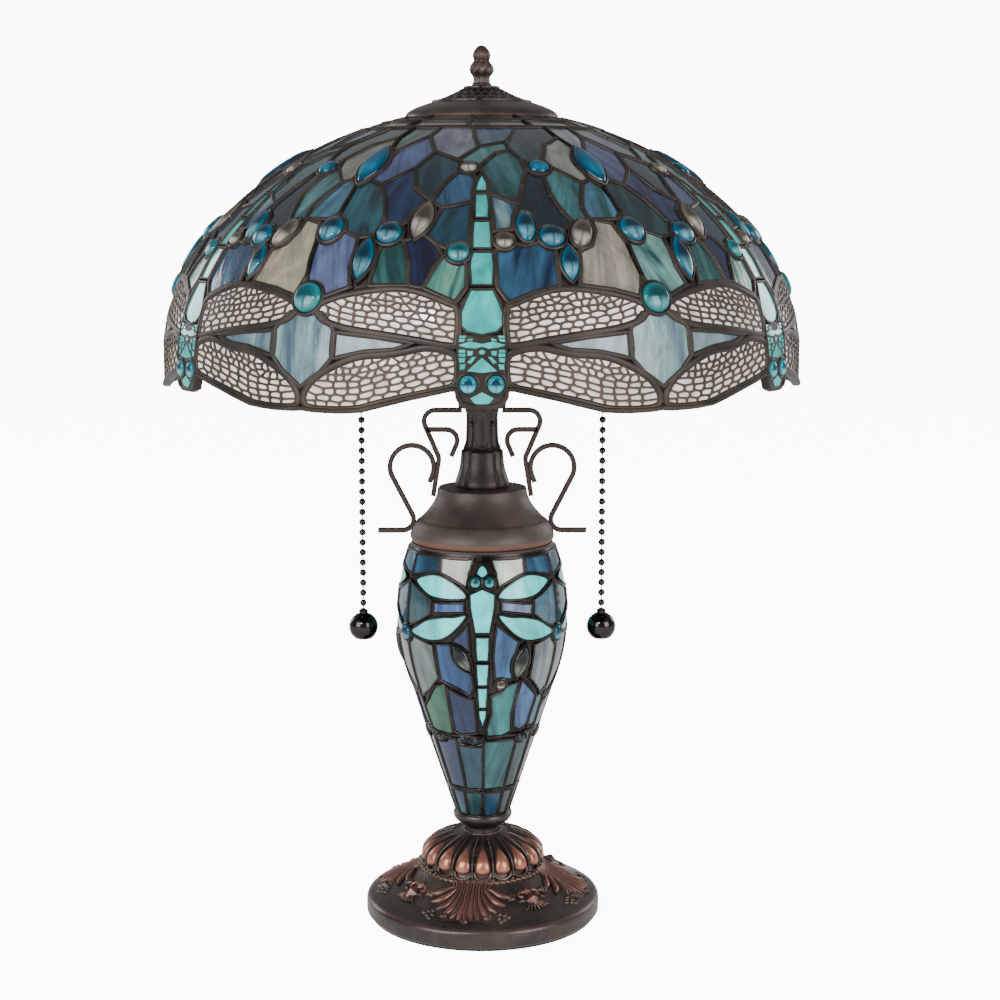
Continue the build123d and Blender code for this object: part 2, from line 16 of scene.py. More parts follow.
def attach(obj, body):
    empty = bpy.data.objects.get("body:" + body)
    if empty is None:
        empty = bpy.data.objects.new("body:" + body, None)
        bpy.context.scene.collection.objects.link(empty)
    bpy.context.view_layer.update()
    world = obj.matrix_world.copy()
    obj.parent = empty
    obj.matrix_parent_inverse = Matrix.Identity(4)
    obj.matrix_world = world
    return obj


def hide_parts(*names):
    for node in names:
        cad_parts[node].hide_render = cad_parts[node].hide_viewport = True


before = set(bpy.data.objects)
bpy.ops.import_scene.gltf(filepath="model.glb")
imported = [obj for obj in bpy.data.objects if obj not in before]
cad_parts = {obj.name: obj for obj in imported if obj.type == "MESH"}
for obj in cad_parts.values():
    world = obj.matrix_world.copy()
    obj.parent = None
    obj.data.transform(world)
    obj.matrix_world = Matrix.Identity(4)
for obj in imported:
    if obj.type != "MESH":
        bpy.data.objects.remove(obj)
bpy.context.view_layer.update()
MM = 0.001


def dots(text):
    """The points of a line that is written "x,y x,y ..."."""
    return [tuple(float(number) for number in pair.split(",")) for pair in text.split()]


# ---- Camera, light and floor ----------------------------------------------------------------
LIGHTS = (  # name, place and size in metres, power in watts
    ("key_left", (-2.3, -2.5, 1.5), 2.1, 110), ("key_right", (2.4, -2.3, 1.4), 2.0, 95),
    ("sparkle", (-0.7, -1.9, 1.6), 0.22, 15), ("back_left", (-2.6, 2.2, 1.2), 1.2, 26),
    ("back_right", (2.6, 2.2, 1.2), 1.2, 26),
)
LIGHT_AIM = Vector((0, 0, 0.35))
WORLD_GLOW = (0.42, 11.0)  # on the lamp, and as the camera sees it
FLOOR_GLOW = (0.25, 10.5)
FLOOR_REACH = 30


def link(name, data):
    thing = bpy.data.objects.new(name, data)
    bpy.context.collection.objects.link(thing)
    return thing


def make_camera():
    camera = link("camera", bpy.data.cameras.new("camera"))
    camera.location = (0, -1.412, 0.534)
    camera.rotation_euler = (radians(90 - 8.86), 0, radians(-0.53))
    camera.data.lens = 70.1
    bpy.context.scene.camera = camera


def make_studio():
    for name, place, size, power in LIGHTS:
        data = bpy.data.lights.new(name, "AREA")
        data.shape, data.size, data.energy = "SQUARE", size, power
        light = link(name, data)
        light.location = place
        light.rotation_euler = (LIGHT_AIM - Vector(place)).to_track_quat("-Z", "Y").to_euler()
    world = bpy.data.worlds.new("studio")
    world.use_nodes = True
    nodes, links = world.node_tree.nodes, world.node_tree.links
    glow = nodes.new("ShaderNodeMapRange")
    glow.inputs["To Min"].default_value, glow.inputs["To Max"].default_value = WORLD_GLOW
    links.new(nodes.new("ShaderNodeLightPath").outputs["Is Camera Ray"], glow.inputs["Value"])
    links.new(glow.outputs[0], nodes["Background"].inputs["Strength"])
    nodes["Background"].inputs["Color"].default_value = (1, 1, 1, 1)
    bpy.context.scene.world = world
    mesh = bpy.data.meshes.new("floor")
    corners = [(x * FLOOR_REACH, y * FLOOR_REACH, 0) for x, y in dots("-1,-1 1,-1 1,1 -1,1")]
    mesh.from_pydata(corners, [], [(0, 1, 2, 3)])
    floor = link("floor", mesh)
    white, pale = (1, 1, 1, 1), (0.93, 0.93, 0.93, 1)
    paint = Look("floor_paint", Base_Color=pale, Roughness=0.7, Specular_IOR_Level=0.1, Emission_Color=white)
    paint.set("Emission Strength", paint.remap(paint.node("LightPath", {}), 0.0, 1.0, *FLOOR_GLOW))
    mesh.materials.append(paint.material)


# ---- Materials ------------------------------------------------------------------------------
class Look:
    """A Principled material, with short ways to wire its nodes."""

    def __init__(self, name, **sockets):
        self.material = bpy.data.materials.new(name)
        self.material.use_nodes = True
        self.tree = self.material.node_tree
        self.surface = self.tree.nodes["Principled BSDF"]
        for socket, value in sockets.items():
            self.surface.inputs[socket.replace("_", " ")].default_value = value

    def node(self, kind, inputs, output=0, **settings):
        node = self.tree.nodes.new("ShaderNode" + kind)
        for key, value in settings.items():
            setattr(node, key, value)
        for socket, value in inputs.items():
            if isinstance(value, bpy.types.NodeSocket):
                self.tree.links.new(value, node.inputs[socket])
            else:
                node.inputs[socket].default_value = value
        return node.outputs[output]

    def attribute(self, name, output="Color"):
        return self.node("Attribute", {}, output, attribute_name=name)

    def place(self):
        """The point in the object's own space, in metres."""
        return self.node("TexCoord", {}, "Object")

    def noise(self, scale, detail=3.0, vector=None, stretch=None, distortion=0.0):
        vector = vector or self.place()
        if stretch:
            vector = self.node("Mapping", {"Vector": vector, "Scale": stretch})
        values = {"Vector": vector, "Scale": scale, "Detail": detail, "Distortion": distortion}
        return self.node("TexNoise", values)

    def remap(self, value, low, high, to_low=0.0, to_high=1.0):
        limits = {"From Min": low, "From Max": high, "To Min": to_low, "To Max": to_high}
        return self.node("MapRange", {"Value": value, **limits})

    def add(self, a, b):
        return self.node("Math", {0: a, 1: b}, operation="ADD")

    def times(self, a, b):
        return self.node("Math", {0: a, 1: b}, operation="MULTIPLY")

    def shaded(self, colour, factor):
        """A colour multiplied by a number."""
        grey = self.node("CombineColor", {0: factor, 1: factor, 2: factor})
        return self.mix(1.0, colour, grey, "MULTIPLY")

    def mix(self, factor, a, b, blend="MIX"):
        return self.node("Mix", {0: factor, 6: a, 7: b}, 2, data_type="RGBA", blend_type=blend)

    def set(self, socket, value):
        self.tree.links.new(value, self.surface.inputs[socket])

    def bump(self, height, strength, distance=0.001):
        self.set("Normal", self.node("Bump", {"Height": height, "Strength": strength, "Distance": distance}))


def rgb(red, green, blue):
    """A linear colour from display values of 0 to 255."""
    shares = [c / 255 for c in (red, green, blue)]
    return tuple(c / 12.92 if c < 10.3 / 255 else ((c + 0.055) / 1.055) ** 2.4 for c in shares) + (1.0,)


def deep(red, green, blue, gain=0.44):
    """The body colour of a glass that looks like this under its own gloss."""
    red, green, blue, _ = (gain * c**1.3 for c in rgb(red, green, blue))
    return (red * 0.9, green * 0.98, blue * 0.93, 1.0)


def streaky_glass():
    """Opalescent sheet: two colours drawn out along the flow of each pane, with wisps and ripples."""
    look = Look("streaky_glass", Roughness=0.13, IOR=1.5, Coat_Weight=0.2, Coat_Roughness=0.05)
    flow = look.attribute("flow", "Vector")
    streaks = look.noise(1.0, 3.0, flow, (0.012, 0.085, 1.0), 0.9)
    wisps = look.noise(1.0, 3.0, flow, (0.02, 0.24, 1.0), 0.5)
    clouds = look.noise(1.0, 3.0, flow, (0.028, 0.04, 1.0), 1.8)
    blend = look.add(look.remap(streaks, 0.38, 0.62), look.remap(wisps, 0.3, 0.7, -0.22, 0.22))
    colour = look.mix(blend, look.attribute("tint"), look.attribute("tint_b"))
    look.set("Base Color", look.shaded(colour, look.remap(clouds, 0.3, 0.7, 0.66, 1.3)))
    ripples = look.noise(1.0, 2.0, flow, (0.05, 0.12, 1.0), 0.5)
    look.bump(look.add(ripples, look.times(wisps, 0.4)), 0.35, 0.0008)
    look.set("Roughness", look.remap(wisps, 0.3, 0.7, 0.09, 0.2))
    return look.material


def jewel_glass():
    """Pressed cabochon: colour set at each vertex, holding a painted light patch and a painted dark reflection line,
    with a few drawn streaks and fine waviness.
    """
    look = Look("jewel_glass", Roughness=0.05, IOR=1.45, Specular_IOR_Level=0.4)
    streaks = look.noise(70.0, 4.0, None, (1.0, 1.0, 0.35), 1.2)
    look.set("Base Color", look.shaded(look.attribute("tint"), look.remap(streaks, 0.35, 0.65, 0.75, 1.2)))
    look.bump(look.noise(160.0, 2.0), 0.12, 0.0006)
    return look.material


def scaled(colour, factor):
    return tuple(min(1.0, c * factor) for c in colour[:3]) + (1.0,)


def bronze(name, dark, copper, roughness, metallic, spots):
    """Patinated bronze that shows copper where the attribute "wear" says that it is rubbed."""
    look = Look(name, Metallic=metallic)
    patches = look.noise(38.0, 6.0, None, None, 0.6)
    grain = look.noise(420.0, 3.0)
    wear = look.add(look.attribute("wear", "Fac"), look.remap(patches, 0.42, 0.75, -spots * 0.4, spots))
    mottled = look.mix(look.remap(patches, 0.35, 0.7), dark, scaled(dark, 1.5))
    look.set("Base Color", look.mix(look.node("Clamp", {"Value": wear}), mottled, copper))
    dull = look.add(patches, look.times(grain, 0.5))
    look.set("Roughness", look.remap(dull, 0.5, 1.0, roughness - 0.08, roughness + 0.12))
    look.bump(look.add(grain, look.times(patches, 2.0)), 0.12, 0.0004)
    return look.material


def cloudy(name, dark, pale, clouds, grain, strength, distance=0.0003, **sockets):
    """Two colours in soft clouds, and a fine grain. Both patterns are noise of (scale, detail)."""
    look = Look(name, **sockets)
    look.set("Base Color", look.mix(look.remap(look.noise(*clouds), 0.3, 0.7), dark, pale))
    look.bump(look.noise(*grain), strength, distance)
    return look


def plated(name, colour, roughness):
    """Plated or drawn metal, with handling marks in the gloss."""
    look = cloudy(name, scaled(colour, 0.7), colour, (60.0, 4.0), (780.0, 2.0), 0.05, Metallic=1.0)
    marks = look.noise(260.0, 4.0)
    look.set("Roughness", look.remap(marks, 0.3, 0.7, roughness * 0.7, roughness * 1.4))
    return look.material


def moulded(name, colour, roughness):
    dark = scaled(colour, 0.8)
    return cloudy(name, dark, colour, (120.0, 3.0), (1500.0, 2.0), 0.1, Roughness=roughness).material


def frosted():
    sockets = {"Roughness": 0.45, "Subsurface_Weight": 0.2, "Coat_Weight": 0.2}
    colours, powder = (rgb(236, 236, 230), rgb(250, 250, 248)), (900.0, 2.0)
    return cloudy("frosted_bulb", *colours, powder, powder, 0.05, 0.0002, **sockets).material


def fibrous(name, colour):
    look = Look(name, Roughness=0.95, Sheen_Weight=0.4)
    fibres = look.noise(700.0, 5.0, None, (1.0, 0.4, 1.0), 2.0)
    look.set("Base Color", look.mix(look.remap(fibres, 0.35, 0.7), colour, scaled(colour, 1.8)))
    look.bump(fibres, 0.6, 0.0006)
    return look.material


# ---- Turned surfaces ------------------------------------------------------------------------
def turned(p, azimuth):
    """A point (radius, height) of a profile, carried to its azimuth about the lamp's axis."""
    turn = radians(azimuth)
    return Vector((p.x * sin(turn), -p.x * cos(turn), p.y))


class Skin:
    """The surface that a meridian of (radius, height) points makes about the lamp's axis."""

    def __init__(self, points):
        self.points = [Vector(p) for p in points]
        self.along = [0.0]
        for a, b in zip(self.points, self.points[1:]):
            self.along.append(self.along[-1] + (b - a).length)
        self.length = self.along[-1]

    def meridian(self, s):
        """(radius, height) at s along the meridian, carried on straight past its ends."""
        i = 0
        while i < len(self.points) - 2 and self.along[i + 1] < s:
            i += 1
        a, b = self.points[i], self.points[i + 1]
        t = (s - self.along[i]) / max(self.along[i + 1] - self.along[i], 1e-9)
        return a + (b - a) * t

    def normal(self, s):
        step = self.meridian(s + 1.5) - self.meridian(s - 1.5)
        return Vector((step.y, -step.x)).normalized()

    def at(self, azimuth, s, lift=0.0):
        return turned(self.meridian(s) + self.normal(s) * lift, azimuth)

    def out(self, azimuth, s):
        """The unit normal at a place."""
        return turned(self.normal(s), azimuth)

    def axes(self, azimuth, s):
        """The point at a place, the normal there, and the directions east and north of it."""
        up, turn = self.out(azimuth, s), radians(azimuth)
        east = Vector((cos(turn), sin(turn), 0))
        return self.at(azimuth, s), up, east, up.cross(east)

    def s_at(self, height):
        """Distance along the meridian at a height, on a meridian that only rises."""
        low, high = 0.0, self.length
        for _ in range(30):
            middle = (low + high) / 2
            low, high = (middle, high) if self.meridian(middle).y < height else (low, middle)
        return low

    def degree(self, s):
        """Millimetres to a degree of azimuth."""
        return max(self.meridian(s).x, 1.0) * radians(1)


def smooth(points, steps=6, closed=False):
    """Catmull-Rom curve through the points."""
    points = [Vector(p) for p in points]
    n = len(points)
    curve = []
    for i in range(n if closed else n - 1):
        if closed:
            a, b, c, d = (points[(i + k) % n] for k in (-1, 0, 1, 2))
        else:
            a, b, c, d = points[max(i - 1, 0)], points[i], points[i + 1], points[min(i + 2, n - 1)]
        for k in range(steps):
            t = k / steps
            bow, twist = 2 * a - 5 * b + 4 * c - d, 3 * b - a - 3 * c + d
            curve.append(0.5 * (2 * b + (c - a) * t + bow * t**2 + twist * t**3))
    return curve if closed else curve + [points[-1]]


# ---- Meshes ---------------------------------------------------------------------------------
GREY = (0.2, 0.2, 0.2, 1.0)
FIELDS = (
    ("wear", "FLOAT", "value"), ("flow", "FLOAT_VECTOR", "vector"),
    ("tint", "FLOAT_COLOR", "color"), ("tint_b", "FLOAT_COLOR", "color"),
)


class Shape:
    """Points in millimetres, faces, and a few values for each point, that become one mesh object."""

    def __init__(self):
        self.points, self.faces, self.looks = [], [], []
        self.wear, self.tint, self.tint_b, self.flow = [], [], [], []

    def add(self, points, faces, look=0, wear=0.0, tint=None, tint_b=None, flow=None):
        first, count = len(self.points), len(points)
        self.points += [tuple(p) for p in points]
        self.faces += [tuple(first + i for i in face) for face in faces]
        self.looks += [look] * len(faces)
        self.wear += wear if isinstance(wear, list) else [wear] * count
        self.tint += tint if isinstance(tint, list) else [tint or GREY] * count
        self.tint_b += [tint_b or GREY] * count
        self.flow += flow or [(0.0, 0.0, 0.0)] * count

    def copy(self, other, azimuth):
        """Another shape's points and faces, turned about the axis."""
        turn = Matrix.Rotation(radians(azimuth), 3, "Z")
        self.add([turn @ Vector(p) for p in other.points], other.faces)

    def make(self, name, looks, body, nodes, slot, turn=0.0, sharp=40.0):
        """The finished object, turned about the axis, riding on a body and standing for CAD nodes."""
        mesh = bpy.data.meshes.new(name)
        mesh.from_pydata(self.points, [], self.faces)
        for look in looks:
            mesh.materials.append(look)
        mesh.polygons.foreach_set("material_index", self.looks)
        mesh.polygons.foreach_set("use_smooth", [True] * len(self.faces))
        for key, kind, field in FIELDS:
            values = getattr(self, key)
            if any(v != values[0] for v in values) or values[0] not in (0.0, (0.0, 0.0, 0.0)):
                data = mesh.attributes.new(key, kind, "POINT").data
                data.foreach_set(field, values if kind == "FLOAT" else [c for v in values for c in v])
        mesh.transform(Matrix.Rotation(radians(turn), 4, "Z") @ Matrix.Scale(MM, 4))
        mesh.update()
        mesh.set_sharp_from_angle(angle=radians(sharp))
        piece = link(name, mesh)
        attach(piece, body)
        if nodes:
            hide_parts(*([nodes] if isinstance(nodes, str) else nodes))


def rings(count, size, closed=True, capped=False):
    """Faces that join `count` loops of `size` points each, one after another."""
    faces = []
    for i in range(count - 1):
        for k in range(size if closed else size - 1):
            a, b = i * size + k, i * size + (k + 1) % size
            faces.append((a, b, b + size, a + size))
    if capped:
        faces.append(tuple(reversed(range(size))))
        faces.append(tuple(range((count - 1) * size, count * size)))
    return faces


def domed(count, size):
    """Faces of `count` loops, and of the fan that joins the last of them to one more point."""
    last = (count - 1) * size
    return rings(count, size) + [(last + k, last + (k + 1) % size, last + size) for k in range(size)]


def lathe(shape, profile, segments=96, look=0, wear=None, swell=None):
    """Turns a closed profile. swell(azimuth, i) adds to the radius of point i, wear(azimuth, i) rubs it."""
    points, worn = [], []
    for i, p in [*enumerate(profile), (0, profile[0])]:
        x, y = p
        for k in range(segments):
            azimuth = degrees(2 * pi * k / segments)
            points.append(turned(Vector((x + (swell(azimuth, i) if swell else 0.0), y)), azimuth))
            worn.append(wear(azimuth, i) if wear else 0.0)
    shape.add(points, rings(len(profile) + 1, segments), look, worn)


CAME = dots("-0.5,-0.3 -0.4,0.6 -0.2,0.94 0.2,0.94 0.4,0.6 0.5,-0.3")  # shares of width and height


def bead(shape, skin, path, width, height, depth=3.0, look=0, closed=False, step=7.0):
    """A lead came along (azimuth, s) points: half round outside and inside, through the glass."""
    path = [Vector(p) for p in path]
    if closed:
        path.append(path[0])
    fine = []
    for a, b in zip(path, path[1:]):
        span = hypot((b.x - a.x) * skin.degree(a.y), b.y - a.y)
        pieces = max(1, ceil(span / step))
        fine += [a + (b - a) * k / pieces for k in range(pieces)]
    if not closed:
        fine.append(path[-1])
    points = []
    n = len(fine)
    for i, p in enumerate(fine):
        back, ahead = fine[i - 1], fine[(i + 1) % n]
        if not closed:
            back, ahead = fine[max(i - 1, 0)], fine[min(i + 1, n - 1)]
        up = skin.out(*p)
        go = (skin.at(*ahead) - skin.at(*back)).normalized()
        side = go.cross(up).normalized()
        middle = skin.at(*p)
        points += [middle + side * (x * width) + up * (y * height) for x, y in CAME]
        points += [middle + side * (-x * width) - up * (depth + y * height * 0.7) for x, y in CAME]
    size = 2 * len(CAME)
    if closed:
        points += points[:size]
    shape.add(points, rings(n + closed, size, capped=not closed), look)


def blob(shape, skin, azimuth, s, radius, height):
    """A low dome of solder over a joint, outside and inside."""
    middle, up, east, north = skin.axes(azimuth, s)
    for sign, start in ((1, middle), (-1, middle - up * 3.0)):
        points = []
        for r, h in dots("1,-0.3 0.85,0.6 0.5,1"):
            for k in range(10):
                turn = sign * 2 * pi * k / 10
                spot = (east * cos(turn) + north * sin(turn)) * radius * r
                points.append(start + spot + up * (sign * height * h))
        shape.add(points, rings(3, 10) + [tuple(range(20, 30))])


def pane(shape, skin, outline, tints, rng, lift=0.0, flat=0.3, grid=9.0, thick=2.8, lean=None, look=0):
    """One cut piece of sheet glass: a slightly flattened plate that follows the surface."""
    k = skin.degree(sum(p[1] for p in outline) / len(outline))
    work = bmesh.new()
    work.faces.new([work.verts.new((a * k, s, 0)) for a, s in outline])
    for axis in (0, 1):
        low = min(v.co[axis] for v in work.verts)
        high = max(v.co[axis] for v in work.verts)
        normal = Vector((1 - axis, axis, 0))
        pieces = ceil((high - low) / grid)
        for i in range(1, pieces):
            cut = normal * (low + (high - low) * i / pieces)
            everything = work.verts[:] + work.edges[:] + work.faces[:]
            bmesh.ops.bisect_plane(work, geom=everything, plane_co=cut, plane_no=normal, dist=0.01)
    work.verts.index_update()
    work.faces.ensure_lookup_table()
    work.normal_update()
    centre = sum((skin.at(a, s) for a, s in outline), Vector()) / len(outline)
    up = skin.out(*(sum(values) / len(outline) for values in zip(*outline)))
    lean = rng.uniform(-0.35, 0.35) if lean is None else radians(lean)
    seed = rng.uniform(0, 900)
    top, bottom, flow = [], [], []
    for p in [v.co.copy() for v in work.verts]:
        place = skin.at(p.x / k, p.y, lift)
        place -= up * (place - centre).dot(up) * flat
        normal = skin.out(p.x / k, p.y)
        top.append(place)
        bottom.append(place - normal * thick)
        flow.append((p.y * cos(lean) + p.x * sin(lean), p.x * cos(lean) - p.y * sin(lean), seed))
    faces = [tuple(v.index for v in f.verts) for f in work.faces]
    if work.faces[0].normal.z < 0:
        faces = [tuple(reversed(f)) for f in faces]
    rim = [(e.verts[0].index, e.verts[1].index) for e in work.edges if e.is_boundary]
    work.free()
    values = {"look": look, "tint": tints[0], "tint_b": tints[1]}
    shape.add(top, faces, flow=flow, **values)
    shape.add(bottom, [tuple(reversed(f)) for f in faces], flow=flow, **values)
    n = len(top)
    shape.add(top + bottom, [(a, b, b + n, a + n) for a, b in rim], flow=flow + flow, **values)


SHEET_INSIDE = -2.4


def sheet(shape, skin, low, high, columns, outer=-0.9):
    """The layer of solder between the panes, closed round. low(azimuth) is its lower edge."""
    rows, points = 24, []
    for azimuth in (360 * i / columns for i in range(columns)):
        start = low(azimuth)
        rise = [start + (high - start) * i / rows for i in range(rows + 1)]
        points += [skin.at(azimuth, s, SHEET_INSIDE) for s in rise]
        points += [skin.at(azimuth, s, outer) for s in reversed(rise)]
    size = 2 * (rows + 1)
    shape.add(points + points[:size], rings(columns + 1, size))


def clip(polygon, point, inward):
    """The part of a polygon on the inward side of a line."""
    kept = []
    for a, b in zip(polygon, polygon[1:] + polygon[:1]):
        da, db = (a - point).dot(inward), (b - point).dot(inward)
        if da >= 0:
            kept.append(a)
        if (da < 0) != (db < 0):
            kept.append(a + (b - a) * (da / (da - db)))
    return kept


def edges_at(outline, x):
    """Lowest and highest y where a vertical line crosses the outline."""
    sides = [(a, b) for a, b in zip(outline, outline[1:] + outline[:1]) if (a.x > x) != (b.x > x)]
    hits = [a.y + (b.y - a.y) * (x - a.x) / (b.x - a.x) for a, b in sides]
    return (min(hits), max(hits)) if len(hits) > 1 else None


def wing_cells(outline, rng, bricks):
    """Cells of a wing's veins: rows of long bricks along its lower edge, and rounder cells above.

    They are the Voronoi cells of their seeds in a space where the lower edge is straight and where
    lengths along the wing are squeezed.
    """
    first, last = min(p.x for p in outline), max(p.x for p in outline)
    squeeze, rows, row_step, reach = 0.45, 14, 4.1, 13

    def base(x):
        return edges_at(outline, min(max(x, first + 6), last - 6))[0]

    seeds = []
    for row in range(rows):
        brick = row < bricks
        x = first + rng.uniform(0, 6)
        while x < last - 0.8:
            span = edges_at(outline, x)
            y = base(x) + 2.1 + row * row_step + rng.uniform(-1, 1) * (0.25 if brick else 1.0)
            if span and span[0] + 0.9 < y < span[1] - 0.9:
                seeds.append(Vector((x * squeeze, y - base(x))))
            x += rng.uniform(7.0, 11.5) if brick else rng.uniform(4.4, 6.6)
    straight = [Vector((p.x * squeeze, p.y - base(p.x))) for p in outline]
    cells = []
    for seed in seeds:
        cell = straight
        for other in seeds:
            if 0 < (other - seed).length < reach:
                cell = clip(cell, (seed + other) / 2, (seed - other).normalized())
        if len(cell) > 2:
            cells.append([Vector((p.x / squeeze, p.y + base(p.x / squeeze))) for p in cell])
    return cells


def net(shape, skin, cells, k, top=0.75, low=-0.2, half=0.66):
    """A pierced plate over a wing: solid along the edges of the cells and open inside them."""
    work = bmesh.new()
    for cell in cells:
        work.faces.new([work.verts.new((p.x, p.y, 0)) for p in cell])
    bmesh.ops.remove_doubles(work, verts=work.verts, dist=0.75)
    for face in work.faces[:]:
        face.normal_update()
        if face.normal.z < 0:
            face.normal_flip()
        corners = [v.co.xy.copy() for v in face.verts]
        n = len(corners)
        if n < 3 or face.calc_area() < 3.0:
            shape.add([skin.at(p.x / k, p.y, top) for p in corners], [tuple(range(n))])
            continue
        inset = []
        for i in range(n):
            a, b, c = corners[i - 1], corners[i], corners[(i + 1) % n]
            u, v = (b - a).normalized(), (c - b).normalized()
            inward = Vector((-u.y - v.y, u.x + v.x))
            reach = half / max(0.35, inward.length / 2)
            inset.append(b + inward.normalized() * reach)
        centre = sum(inset, Vector((0, 0))) / n
        hole = []
        for i in range(n):
            a, b = inset[i], inset[(i + 1) % n]
            cut = min(0.3, 0.95 / max((b - a).length, 0.1))
            hole += [a + (b - a) * cut, b + (a - b) * cut]
        wall = [centre + (p - centre) * 0.95 for p in hole]
        levels = ((corners, top - 0.15), (hole, top), (wall, low))
        points = [skin.at(p.x / k, p.y, lift) for loop, lift in levels for p in loop]
        faces = []
        for i in range(n):
            near, far = n + 2 * i, n + 2 * i + 1
            before = n + (2 * i - 1) % (2 * n)
            faces.append((i, (i + 1) % n, far, near))
            faces.append((i, near, before))
        for i in range(2 * n):
            a, b = n + i, n + (i + 1) % (2 * n)
            faces.append((a, b, b + 2 * n, a + 2 * n))
        shape.add(points, faces)
    work.free()


# The third colour of each kind is painted light: a pale patch low in the dome, for light shining through the jewel.
JEWEL_TINTS = {  # the dark of the middle, the rim, and the pale patch low down
    "blue": (rgb(2, 30, 44), rgb(1, 72, 96), rgb(84, 136, 148)),
    "teal": (rgb(6, 58, 64), rgb(6, 98, 104), rgb(92, 146, 148)),
    "eye": (rgb(4, 54, 72), rgb(10, 118, 132), rgb(100, 176, 184)),
    "deep": (rgb(1, 66, 92), rgb(1, 42, 62), rgb(2, 88, 116)),
    "clear": (rgb(46, 42, 36), rgb(78, 74, 66), rgb(158, 152, 142)),
    "smoke": (rgb(12, 20, 18), rgb(26, 36, 32), rgb(96, 104, 96)),
    "dark": (rgb(4, 16, 20), rgb(6, 30, 38), rgb(36, 66, 74)),
}


JEWEL_LEVELS = dots("1,-0.6 1,0.1 0.95,0.38 0.85,0.62 0.68,0.82 0.46,0.94 0.22,0.99")  # width, height
BEZEL_LEVELS = dots("2,-3.6 2.3,-0.4 1.9,1.1 0.9,1.7 0,1.2 -0.5,0.2")  # millimetres outwards, and up


def share(value):
    return max(0.0, min(1.0, value))


def jewel(shape, setting, skin, azimuth, s, length, width, tilt, kind="blue", pointed=False, tall=0.26):
    """A domed jewel on a dark seat with a rolled bezel. It leans clockwise by tilt."""
    middle, up, east, north = skin.axes(azimuth, s)
    lean = radians(tilt)
    along, across = north * cos(lean) + east * sin(lean), east * cos(lean) - north * sin(lean)
    count, outline = 32, []
    for i in range(count):
        turn = 2 * pi * i / count
        y = sin(turn) * length / 2
        if pointed:
            arc = (length**2 + width**2) / (4 * width)
            x = (sqrt(max(arc**2 - y**2, 0)) - arc + width / 2) * (1 if cos(turn) > 0 else -1)
        else:
            x = cos(turn) * width / 2
        outline.append(Vector((x, y)))
    top = min(length, width) * tall
    dark, rim, pale = JEWEL_TINTS[kind]
    points, tints = [], []
    for r, h in JEWEL_LEVELS:
        for p in outline:
            points.append(middle + across * p.x * r + along * p.y * r + up * (0.5 + top * h))
            # Painted light: the pale colour fills a patch low in the dome, for light shining through the jewel, and a
            # painted dark reflection line splits that patch down the middle.
            low, off = -p.y * r / length, abs(p.x * r / width)
            painted_dark_line = share(1 - off * 14) * (0.8 if low > 0 else 0.0)
            painted_light_patch = share(low * 4.5 + 0.05) * share((0.94 - r) * 4) * (1 - painted_dark_line)
            base = [d + (e - d) * share((r - 0.6) / 0.3) for d, e in zip(dark, rim)]
            tints.append(tuple(b + (q - b) * painted_light_patch * 0.9 for b, q in zip(base, pale)))
    points.append(middle + up * (0.5 + top))
    tints.append(dark)
    shape.add(points, domed(len(JEWEL_LEVELS), count), tint=tints)
    seat = []
    for wider, h in BEZEL_LEVELS:
        for p in outline:
            q = p + p.normalized() * wider
            seat.append(middle + across * q.x + along * q.y + up * h)
    setting.add(seat, rings(len(BEZEL_LEVELS), count) + [tuple(reversed(range(count)))])


# ---- Shade ----------------------------------------------------------------------------------
RIM_HEIGHT = 404.0
SHADE_RADIUS = 227.0
STRAIGHT = 16.0  # the upright part above the rim
SHOULDER = 134.0  # radius of the arc above it
TANGENT = radians(43)  # where the shoulder's arc meets the crown's
SECTORS = 6
SECTOR = 360 / SECTORS
CROWN_LINE, CROWN_EDGE, CROWN_END = 243.0, 260.0, 275.0  # two rings of crown glass, as distances up
WING_AT = 40  # a distance up at which wings and wedges are measured in millimetres


def shade_meridian():
    shoulder_x = SHADE_RADIUS - SHOULDER
    crown = SHOULDER + shoulder_x / cos(TANGENT)
    crown_z = RIM_HEIGHT + STRAIGHT - shoulder_x * tan(TANGENT)
    points = [(SHADE_RADIUS, RIM_HEIGHT + STRAIGHT * i / 2) for i in range(3)]
    for i in range(1, 41):
        a = TANGENT * i / 40
        points.append((shoulder_x + SHOULDER * cos(a), RIM_HEIGHT + STRAIGHT + SHOULDER * sin(a)))
    for i in range(1, 61):
        a = TANGENT + (radians(80.5) - TANGENT) * i / 60
        points.append((crown * cos(a), crown_z + crown * sin(a)))
    return Skin(points)


